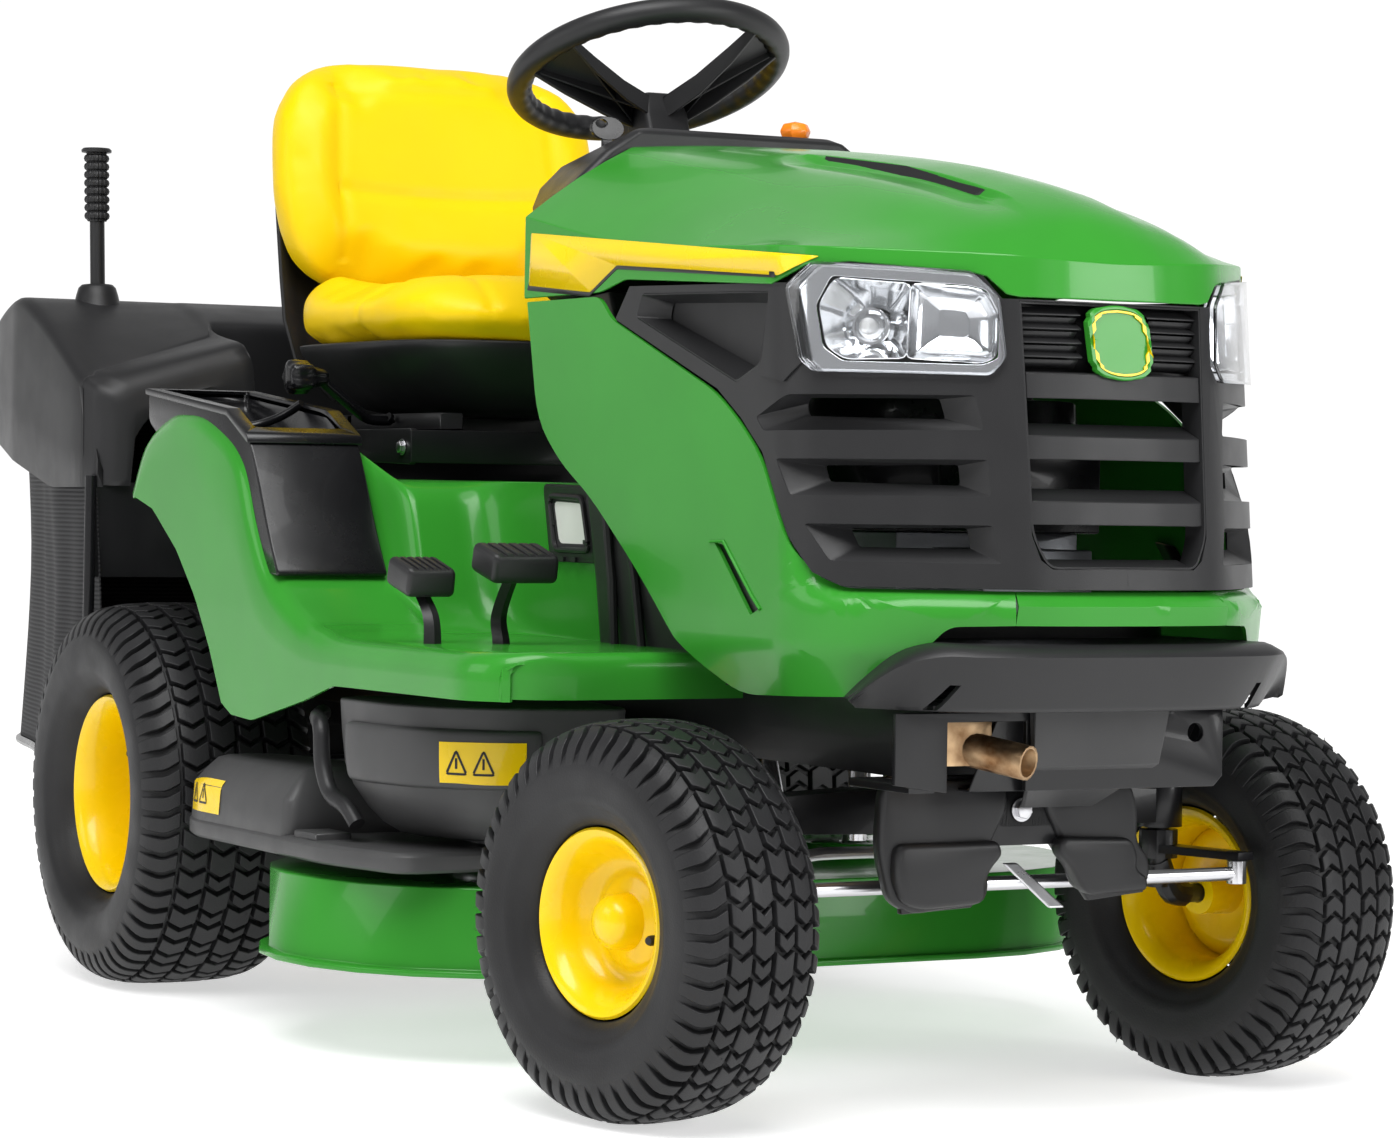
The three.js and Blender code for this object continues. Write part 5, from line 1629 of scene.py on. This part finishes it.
def fuel_window():
    """A pale pane of the tank behind a clipped black frame, on the right wall of the dash tunnel."""
    pane_line = rounded([(-48, 590), (-128, 588), (-146, 532), (-66, 532)], 8, 4)
    pane = slab("fuel_pane", pane_line, "x", -182.4, -178)
    bevel(pane, 1, 2, 40)
    place(pane, "chassis", "tank_plastic", ["fuel_window"])
    outer = rounded([(-30, 602), (-142, 600), (-166, 518), (-50, 518)], 10, 4)
    frame_piece = slab("fuel_frame", outer, "x", -184, -177)
    hole = slab(
        "fuel_hole", rounded([(-56, 583), (-124, 581), (-140, 538), (-70, 538)], 8, 4), "x", -200, -170,
    )
    cut_out(frame_piece, [hole])
    ring_line = [(-185, y, z) for y, z in rounded([(-50, 589), (-129, 587), (-147, 531), (-65, 531)], 10, 4)]
    lip = sweep("fuel_lip", ring_line, 3.4, 8, closed=True)
    clips = []
    for y, z in ((-84, 521), (-112, 521), (-140, 540), (-58, 560)):
        clips.append(block("clip", (-187, y - 5, z - 2.5), (-183, y + 5, z + 2.5)))
    bevel(frame_piece, 1.5, 2, 40)
    whole = joined("fuel_window_frame", [frame_piece, lip, *clips])
    place(whole, "chassis", "black_plastic")


def pedal(body, x, y, pad_half, pad_y, pad_z):
    """A rubber pad with grooves on a flat bent arm."""
    line = smooth_line([(x, y, 406), (x, y - 2, 436), (x, y + 4, 466), (x, pad_y + 4, pad_z - 12)], 6)
    rows = []
    for i, point in enumerate(line):
        wide = 11 - 3 * i / len(line)
        rows.append([
            point + Vector((wide, 0, 0)), point + Vector((0, 5, 1)), point - Vector((wide, 0, 0)),
            point + Vector((0, -5, -1)),
        ])
    arm = grid("pedal_arm", rows, closed=True, caps=True)
    hinge = lathe("pedal_hinge", [(0, -20), (10, -20), (10, 20), (0, 20)], (x, y, 404), (1, 0, 0), 20)
    pad_line = rounded(
        [
            (pad_y - 28, pad_z - 22), (pad_y - 33, pad_z + 8), (pad_y + 22, pad_z + 22),
            (pad_y + 30, pad_z - 8),
        ],
        9, 4,
    )
    pad = slab("pad", pad_line, "x", x - pad_half - 1, x + pad_half + 1)
    bevel(pad, 6, 4, 60)
    settle(pad)
    groove_line = [
        (pad_y - 36, pad_z + 5.5), (pad_y - 36, pad_z + 15), (pad_y + 24, pad_z + 28),
        (pad_y + 24, pad_z + 20),
    ]
    grooves = []
    for k in range(5):
        share = -1 + 2 * (k + 0.5) / 5
        groove_x = x + share * pad_half * 0.82
        grooves.append(slab("groove", groove_line, "x", groove_x - 2.2, groove_x + 2.2))
    cut_out(pad, grooves)
    bevel(pad, 0.8, 2, 50)
    place(joined(body + "_skin", [arm, hinge, pad]), body, "black_plastic", [body])


def pedals():
    pedal("forward_pedal", -320, -214, 36, -244, 520)
    pedal("reverse_pedal", -394, -206, 26, -176, 504)
    pedal("brake_pedal", 326, -214, 40, -246, 524)


# ---------- front bumper ----------
BUMPER_HALF = 245
BUMPER_FOOT = 399


def bumper():
    """A moulded bar whose lip turns in under the nose and up behind it; its ends fall away."""
    half = [(0, -905), (100, -900), (158, -886), (190, -866), (215, -838), (234, -810), (BUMPER_HALF, -792)]
    levels = [
        (BUMPER_FOOT, 22, 26), (400, 21, 23), (404, 19, 20), (444, 3, 3), (450, 0, 0), (454, 1, 3),
        (459, 8, 13), (461, 12, 20), (461, 16, 30), (462, 60, 150), (484, 61, 151),
    ]

    def lift(x):
        return 1 - 0.84 * max(0, (abs(x) - 196) / (BUMPER_HALF - 196)) ** 1.7

    rows = []
    for z, inset, setback in levels:
        line = []
        for x, y in half:
            height = BUMPER_FOOT + (z - BUMPER_FOOT) * lift(x)
            line.append((x - inset * (x / BUMPER_HALF) ** 2, y + setback, height))
        whole = [(-x, y, height) for x, y, height in reversed(line[1:])] + line
        rows.append(smooth_line(whole, 5))
    face = turn_to(grid("bumper_face", rows), (0, -1, 0.2))
    thicken(face, 5, even=False)
    settle(face)
    slot_lines = [[(x - 8, 400), (x + 2, 400), (x + 12, 424), (x + 4, 424)] for x in (-182, 148)]
    cut_out(face, [slab("bumper_slot", line, "y", -920, -830) for line in slot_lines])
    bevel(face, 1.5, 2, 50)
    place(face, "chassis", "black_plastic", ["front_bumper"])


# ---------- grass hopper ----------
HOPPER_WIDE = 430
BAG_TOP, BAG_FOOT = 606, 256
LEVER_X, LEVER_Y = -330, 978
LOW_EDGE = [
    (0, 600), (255, 600), (268, 636), (284, 692), (303, 712), (340, 705), (380, 686), (406, 660),
    (418, 630), (426, 606), (430, 592),
]
HOPPER_HALF = [
    (716, 392), (722, 408), (735, 420), (755, 428), (780, 431), (1000, 433), (1100, 421), (1180, 396),
    (1240, 362), (1290, 314), (1320, 268), (1336, 214),
]
HOPPER_HEM = [(716, 590), (858, 589), (1000, 622), (1250, 685), (1340, 692)]
NOOK_LINE = [
    (862, 600), (862, 650), (862, 700), (862, 745), (864, 780), (868, 797), (880, 806), (915, 818),
    (950, 827),
]
HOPPER_BACK = [
    (985, 831), (1060, 823), (1150, 797), (1230, 763), (1290, 728), (1322, 700), (1334, 660), (1335, 604),
]


def hopper_line(x):
    low = between(x, LOW_EDGE)
    crease_y = 768 + (HOPPER_WIDE - x) * 0.328
    crease_z = 731 + (HOPPER_WIDE - x) * 0.273
    rise_y, rise_z = 985 - crease_y, 830 - crease_z
    lobe = [
        (716, low), (715, (low + max(low, crease_z - 46)) / 2), (716, max(low, crease_z - 46)),
        (723, crease_z - 22), (742, crease_z - 10), (crease_y - 14, crease_z - 4), (crease_y, crease_z + 1),
        (crease_y + rise_y * 0.34, crease_z + rise_z * 0.42),
        (crease_y + rise_y * 0.68, crease_z + rise_z * 0.78),
    ]
    return mixed(NOOK_LINE, lobe, ease(x, 214, 236)) + HOPPER_BACK


def hopper_plan(x, y):
    return x * between(y, HOPPER_HALF) / HOPPER_WIDE, y


def hopper_cover():
    stations = [0, 100, 180, 210, 216, 221, 225, 229, 234, 240, 255, 268, 284, 303, 325, 350, 380, 400, 410]
    cover = draped_skin("hopper_shell", stations, hopper_line, (HOPPER_WIDE, 14), HOPPER_HEM, hopper_plan, 4)
    thicken(cover, 5, even=False)
    settle(cover)
    bevel(cover, 1.5, 2, 50)
    boot = lathe(
        "lever_boot",
        [(12, 44), (20, 44), (24, 40), (27, 30), (31, 12), (36, 2), (44, -8), (44, -14), (12, -14)],
        (LEVER_X, LEVER_Y, 806), (0, 0.05, 1), 40,
    )
    whole = joined("hopper_cover_shell", [cover, boot])
    place(whole, "hopper", "black_plastic", ["hopper_cover"])


def bag_ring(z, inset, fullness=0.0, rise=0.0):
    """The bag's plan at a height, from the right front corner round the back to the left front corner;
    rise is the share of the way up to the cover's lower edge."""
    half = [
        (424, 726), (426, 800), (424, 880), (400, 980), (372, 1090), (339, 1240), (300, 1290), (240, 1322),
        (120, 1328),
    ]
    half = [(x - inset, y) for x, y in half]
    right = [(-x, y, z) for x, y in half]
    left = [(x, y, z) for x, y in reversed(half)]
    line = smooth_line(right + [(0, 1329, z)] + left, 6)
    if fullness:
        for k, point in enumerate(line):
            wave = math.sin(k * 0.9) * 0.5 + math.sin(k * 0.37 + z * 0.02) * 0.5
            middle_x = -math.copysign(1, point.x) if abs(point.x) > 1 else 0
            line[k] = point + Vector((middle_x * wave * fullness, -wave * fullness * 0.5, 0))
    for point in line:
        point.z += rise * (between(point.y, HOPPER_HEM) - 590)
    return line


def hopper_bag():
    levels = [
        (BAG_TOP, 4, 0), (570, 7, 1.5), (520, 10, 3), (460, 12, 3.5), (400, 12, 3.5), (340, 10, 3),
        (290, 6, 1.5), (BAG_FOOT, 3, 0),
    ]
    rows = [bag_ring(z, inset, wave, (z - BAG_FOOT) / (BAG_TOP - BAG_FOOT)) for z, inset, wave in levels]
    walls = turn_to(grid("hopper_bag_walls", rows), (0, 0, 0.001))
    subdivide(walls, 1)
    settle(walls)
    thicken(walls, 1.6, 0)
    place(walls, "hopper", "mesh_fabric", ["hopper_bag"])
    ring = bag_ring(252, 6)
    floor_rows = []
    for share in (-1, -0.5, 0, 0.5, 1):
        floor_rows.append([
            (point.x * share, point.y, 252 - 4 * (1 - share * share)) for point in ring[:len(ring) // 2 + 1]
        ])
    base = turn_to(grid("hopper_bag_floor", floor_rows), (0, 0, -1))
    thicken(base, 1.6, 0)
    place(base, "hopper", "mesh_fabric")
    tubes = []
    for side in (-1, 1):
        corner = [
            (side * 428, 722, 604), (side * 429, 722, 430), (side * 428, 722, 262), (side * 424, 740, 252),
            (side * 422, 880, 250),
        ]
        tubes.append(sweep("post", rounded(corner, [0, 0, 14, 14, 0], 4), 7, 12))
    tubes.append(sweep("low_ring", bag_ring(250, 2), 6, 10))
    tubes.append(sweep("front_bar", [(-424, 724, 252), (424, 724, 252)], 7, 12))
    posts = joined("hopper_frame_tubes", tubes)
    place(posts, "hopper", "black_gloss")
    front = []
    for z in (596, 480, 360, 256):
        front.append([(x, 730 + 3 * math.cos(x * 0.02 + z), z) for x in range(-420, 421, 28)])
    panel = turn_to(grid("hopper_front_panel", front), (0, -1, 0))
    settle(panel)
    openings = [block("mouth", (-118, 700, 366), (118, 760, 566))]
    for side in (-1, 1):
        low, high = sorted((side * 256, side * 460))
        openings.append(block("arch", (low, 700, 200), (high, 760, 480)))
    thicken(panel, 2, 0)
    settle(panel)
    cut_out(panel, openings)
    place(panel, "hopper", "mesh_fabric", finish="deep_black")


def dump_lever():
    rod = lathe(
        "dump_rod", [(0, -160), (9.5, -160), (9.5, 100), (0, 100)], (LEVER_X, LEVER_Y, 846), (0, 0.06, 1),
        24,
    )
    profile = [(9, 92), (12, 92)]
    for k in range(8):
        base = 94 + k * 10.6
        profile += [(13, base), (15.4, base + 1.8), (16.4, base + 5), (15.4, base + 8.4), (13, base + 10)]
    profile += [(13, 180), (19, 181), (19.5, 184), (17, 186.5), (0, 187)]
    rows = []
    for k in range(72):
        angle = 2 * math.pi * k / 72
        flute = 0.9 if k % 4 < 2 else 0.0
        rows.append([(r - flute if 12.5 < r < 17 else r, z, angle) for r, z in profile])
    shaped = []
    for row in rows + rows[:1]:
        shaped.append([
            (LEVER_X + r * math.cos(a), LEVER_Y + 0.06 * z + r * math.sin(a), 840 + z) for r, z, a in row
        ])
    grip = grid("dump_grip", shaped)
    whole = joined("dump_lever_skin", [rod, grip])
    place(whole, "dump_lever", "black_plastic", ["dump_lever"])


fender_deck()
storage_box()
seat()
seat_shell()
seat_fittings()
steering_wheel()
dash_fittings()
key()
fuel_window()
pedals()
bumper()
hopper_cover()
hopper_bag()
dump_lever()


# ---------- dash ----------
def four_sided(front, back, radius=14):
    """A ring with a front edge and a back edge, each (half width, y, z), its corners rounded."""
    (fx, fy, fz), (bx, by, bz) = front, back
    return rounded([(-fx, fy, fz), (fx, fy, fz), (bx, by, bz), (-bx, by, bz)], radius, 5)


def dash():
    tower = grid("dash_tower_skin", [
        four_sided((188, -442, 403), (190, -182, 403)), four_sided((196, -400, 500), (196, -176, 500)),
        four_sided((206, -352, 600), (200, -160, 600)), four_sided((214, -336, 640), (190, -130, 640)),
        four_sided((228, -270, 800), (172, -40, 800)),
    ], closed=True, caps=True)
    bevel(tower, 2, 2, 60)
    place(tower, "chassis", "black_plastic", ["dash_tower"])
    console = grid("dash_console_skin", [
        four_sided((238, -134, 801), (160, 4, 801)), four_sided((237, -134, 876), (160, 46, 868)),
        four_sided((200, -134, 926), (148, 84, 908)), four_sided((168, -134, 956), (134, 96, 930)),
        four_sided((134, -134, 980), (114, 88, 954), 18), four_sided((122, -126, 985), (104, 78, 959), 18),
        four_sided((100, -110, 984), (84, 60, 961), 18),
    ], closed=True, caps=True)
    bevel(console, 3, 3, 40)
    place(console, "chassis", "black_plastic", ["dash_console"])
    ribs = []
    for y0, z0, y1, z1 in ((-262, 596, -300, 410), (-222, 596, -236, 410)):
        ribs.append(
            sweep("rib", [(-198, y1, z1), (-200, (y0 + y1) / 2, (z0 + z1) / 2), (-207, y0, z0)], 5, 8)
        )
    place(joined("dash_tower_ribs", ribs), "chassis", "black_plastic")


# ---------- right side of the cutting deck ----------
def cling(piece, target, gap):
    """The piece lies on the target's surface, a gap above it."""
    wrap = piece.modifiers.new("wrap", "SHRINKWRAP")
    wrap.target = target
    wrap.wrap_mode = "ABOVE_SURFACE"
    wrap.offset = gap * MM
    settle(piece)


def warning_label(name, target, centre, size, facing):
    """A plain yellow label with two black warning triangles."""
    out = Vector(facing).normalized()
    along = Vector((0, 0, 1)).cross(out).normalized()
    up = out.cross(along)
    wide, high = size

    def spot(a, b):
        return Vector(centre) + along * (a * wide / 2) + up * (b * high / 2)

    rows = [[spot(-1 + k / 8, -1 + j / 3) for k in range(17)] for j in range(7)]
    plate = turn_to(grid(name, rows), facing)
    cling(plate, target, 0.8)
    place(plate, "deck", "yellow_paint")
    signs = []
    for middle in (-0.58, 0.05):
        corners = [spot(middle - 0.24, -0.5), spot(middle + 0.24, -0.5), spot(middle, 0.6)]
        signs.append(sweep("sign", rounded(corners, 2, 2), 1.3, 6, closed=True))
        signs.append(sweep("mark", [spot(middle, -0.25), spot(middle, 0.25)], 1.3, 6))
    marks = joined(name + "_signs", signs)
    cling(marks, target, 1.3)
    place(marks, "deck", "black_plastic")


def belt_housing():
    """A tapering moulded bowl with a raised panel and a rib behind it."""
    plan = [(-176, -36), (-436, -36), (-438, -150), (-418, -232), (-360, -288), (-280, -316), (-222, -318)]

    def ring(z, inset, back):
        line = []
        for x, y in plan:
            toward = Vector((-300 - x, -150 - y))
            step = toward.normalized() * min(inset, toward.length * 0.8)
            line.append((x + step.x, min(y + step.y, back), z))
        return rounded(line, [10, 60, 60, 60, 60, 50, 20], 6)

    levels = [
        (374, 0, -36), (340, 2, -38), (306, 5, -44), (284, 12, -58), (262, 26, -78), (246, 42, -96),
        (236, 60, -112), (232, 84, -130),
    ]
    housing = grid("belt_housing_skin", [ring(*level) for level in reversed(levels)], closed=True, caps=True)
    bevel(housing, 3, 3, 50)
    place(housing, "deck", "black_plastic", ["belt_housing"], finish="grey_plastic_painted_light")
    brow = [(-441, -98), (-441, -104), (-442, -120), (-439, -152), (-431, -196), (-418, -231), (-402, -251),
            (-388, -263), (-370, -279), (-345, -292), (-318, -303), (-314, -304)]
    rows = []
    for z, out in ((352, -3), (350, 3.5), (345, 5), (318, 6), (298, 5), (292, 3), (290, -4)):
        row = []
        for x, y in brow:
            edge = -5 if (x, y) in (brow[0], brow[-1]) else 0
            away = Vector((x + 300, y + 150)).normalized() * (out + edge - (352 - z) * 0.06)
            row.append((x + away.x, y + away.y, z))
        rows.append(row)
    panel = turn_to(grid("belt_housing_panel", rows), (-1, -0.4, 0))
    subdivide(panel, 2)
    place(panel, "deck", "black_plastic", finish="grey_plastic_painted_light")
    warning_label("housing_label", panel, (-372, -282, 317), (92, 44), (-0.49, -0.87, 0))
    rib_line = rounded(
        [
            (-408, 40, 352), (-432, 0, 350), (-440, -30, 344), (-440, -34, 300), (-438, -52, 270),
            (-436, -92, 262), (-432, -110, 244),
        ],
        [0, 14, 14, 20, 18, 14, 0], 4,
    )
    rib = sweep("belt_housing_rib", rib_line, 9, 12)
    place(rib, "deck", "black_plastic")


def belt_cover():
    """A low cover over the belt, with a chamfered hump at its back."""
    plan = [(-472, 250), (-452, 322), (-366, 326), (-304, 200), (-304, -232), (-438, -236), (-470, -100)]

    def ring(z, inset, low, high):
        line = []
        for x, y in plan:
            toward = Vector((-388 - x, max(-120, min(200, y)) - y)).normalized() * inset
            line.append((x + toward.x, max(low, min(high, y + toward.y)), z))
        return rounded(line, 26, 5)

    base = grid(
        "belt_cover_base",
        [
            ring(203, 4, -240, 330), ring(206, 0, -240, 330), ring(220, 0, -240, 330),
            ring(224, 4, -236, 326), ring(225, 12, -230, 318),
        ],
        closed=True, caps=True,
    )
    hump = grid(
        "belt_cover_hump",
        [
            ring(218, 2, 0, 326), ring(262, 6, 2, 318), ring(280, 22, 14, 296), ring(290, 34, 24, 282),
            ring(293, 46, 34, 270),
        ],
        closed=True, caps=True,
    )
    for piece in (base, hump):
        bevel(piece, 3, 3, 40)
    tab = block("tab", (-462, -70, 222), (-420, -12, 232))
    bevel(tab, 2, 2)
    cover = place(joined("belt_cover_skin", [base, hump, tab]), "deck", "black_plastic", ["belt_cover"],
                  finish="grey_plastic_painted_light")
    warning_label("cover_label", cover, (-468, 236, 252), (104, 40), (-1, 0, 0.2))


# ---------- under the nose ----------
def front_guard():
    """Two moulded lobes over the steering links, with a bolt between them and a zinc tab."""
    lobes = []
    shapes = (
        [
            (-164, 326), (-28, 326), (-22, 300), (-44, 262), (-44, 208), (-128, 200), (-154, 212),
            (-168, 262),
        ],
        [
            (22, 330), (118, 324), (128, 290), (126, 262), (142, 246), (142, 220), (58, 214), (36, 270),
            (18, 300),
        ],
    )
    for outline in shapes:
        body = slab("lobe", rounded(outline, 16, 4), "y", -722, -706)
        bevel(body, 5, 4, 60)
        middle_x = sum(x for x, _ in outline) / len(outline)
        inner = [(middle_x + (x - middle_x) * 0.84, 208 + (z - 206) * 0.5) for x, z in outline]
        raised = slab("lobe_panel", rounded(inner, 12, 4), "y", -732, -712)
        bevel(raised, 6, 4, 60)
        lobes += [body, raised]
    bridge = slab(
        "lobe_bridge", rounded([(-60, 328), (60, 328), (34, 276), (-34, 276)], 10, 4), "y", -716, -704,
    )
    bevel(bridge, 4, 3, 60)
    place(joined("axle_guard", [*lobes, bridge]), "chassis", "black_plastic")
    bolt("axle_guard_bolt", (-6, -717, 296), (0, -1, 0), 11, "chassis")
    tab = beam("axle_guard_tab", [(-30, -724, 246), (-14, -724, 246), (-14, -719, 246), (-30, -719, 246)],
               [(8, -748, 204), (26, -748, 204), (26, -743, 204), (8, -743, 204)])
    bevel(tab, 2, 3)
    place(tab, "chassis", "zinc_steel")
    chin = beam("nose_chin", [(-62, -822, 397), (92, -822, 397), (92, -813, 397), (-62, -813, 397)],
                [(-60, -819, 344), (82, -819, 344), (82, -813, 344), (-60, -813, 344)])
    skirt = beam("nose_skirt", [(-60, -819, 345), (82, -819, 345), (82, -813, 345), (-60, -813, 345)],
                 [(-20, -742, 300), (60, -742, 300), (60, -734, 300), (-20, -734, 300)])
    for piece in (chin, skirt):
        bevel(piece, 2, 2)
    place(joined("nose_chin_plate", [chin, skirt]), "chassis", "frame_paint", finish="grey_plastic_painted_light")


dash()
belt_housing()
belt_cover()
front_guard()


# ---------- CAD nodes that stay as they are ----------
for node in frame["nodes"]:
    dress(node)


# ---------- camera, light and floor ----------
def camera():
    yaw, pitch, roll = (math.radians(angle) for angle in (28.79, 0.97, 0.896))
    ahead = Vector((math.sin(yaw) * math.cos(pitch), math.cos(yaw) * math.cos(pitch), -math.sin(pitch)))
    right = Vector((math.cos(yaw), -math.sin(yaw), 0))
    up = right.cross(ahead)
    rolled_right = math.cos(roll) * right + math.sin(roll) * up
    rolled_up = math.cos(roll) * up - math.sin(roll) * right
    data = bpy.data.cameras.new("camera")
    data.lens = 102.7
    data.shift_x = -0.0156
    data.shift_y = -0.0064
    data.clip_start = 0.1
    data.clip_end = 100
    holder = linked("camera", data)
    turn = Matrix((rolled_right, rolled_up, -ahead)).transposed()
    holder.matrix_world = Matrix.Translation(at(-2101.1, -3925.9, 595.4)) @ turn.to_4x4()
    bpy.context.scene.camera = holder


def aimed(light, spot, target):
    light.rotation_euler = (at(*target) - at(*spot)).to_track_quat("-Z", "Y").to_euler()


def area_light(name, spot, target, size, power):
    data = bpy.data.lights.new(name, "AREA")
    data.shape = "RECTANGLE"
    data.size, data.size_y = size
    data.energy = power
    light = linked(name, data)
    light.location = at(*spot)
    aimed(light, spot, target)


def room(tree, background):
    """A white wall behind the mower, greyer ones to the sides and in front, and a grey ceiling."""
    direction = tree.nodes.new("ShaderNodeTexCoord")
    split = tree.nodes.new("ShaderNodeSeparateXYZ")
    tree.links.new(direction.outputs["Generated"], split.inputs["Vector"])
    ceiling = ramp(tree, split.outputs["Z"], grey(1.0), grey(0.5), 0.14, 0.45)
    behind = tree.nodes.new("ShaderNodeVectorMath")
    behind.operation = "DOT_PRODUCT"
    tree.links.new(direction.outputs["Generated"], behind.inputs[0])
    behind.inputs[1].default_value = (0.48, 0.877, 0)
    wall = ramp(tree, behind.outputs["Value"], grey(0.36), grey(1.0), 0.4, 0.86)
    both = tree.nodes.new("ShaderNodeMix")
    both.data_type = "RGBA"
    both.blend_type = "MULTIPLY"
    both.inputs["Factor"].default_value = 1
    tree.links.new(ceiling, both.inputs[6])
    tree.links.new(wall, both.inputs[7])
    tree.links.new(both.outputs[2], background.inputs["Color"])
    background.inputs["Strength"].default_value = 1.05


def studio():
    world = bpy.data.worlds.new("studio")
    world.use_nodes = True
    background = world.node_tree.nodes["Background"]
    room(world.node_tree, background)
    scene = bpy.context.scene
    scene.world = world
    scene.view_settings.view_transform = "Standard"
    area_light("key", (-1300, -1800, 3300), (0, -200, 500), (3.2, 2.0), 105)
    area_light("fill", (-3600, 600, 1800), (0, 0, 500), (2.0, 1.4), 20)
    area_light("front", (1800, -3600, 1500), (0, -500, 400), (1.4, 1.4), 46)
    sun = bpy.data.lights.new("window", "SUN")
    sun.energy = 1.5
    sun.angle = math.radians(50)
    aimed(linked("window", sun), (-900, -1300, 3200), (0, 0, 0))
    mesh = bpy.data.meshes.new("floor")
    reach, sunk = 14, -0.0005
    corners_of_floor = [
        (-reach, -reach, sunk), (reach, -reach, sunk), (reach, reach, sunk), (-reach, reach, sunk),
    ]
    mesh.from_pydata(corners_of_floor, [], [(0, 1, 2, 3)])
    floor = linked("floor", mesh)
    floor.data.materials.append(
        surface(
            "floor_white", (0.72, 0.72, 0.72), 0.7, grain=(30, 0.02, 0.0005), mottle=0.004,
            Emission_Strength=0.58, Emission_Color=(1, 1, 1, 1),
        )
    )


camera()
studio()


def corners(box):
    return [list(corner) for corner in box]
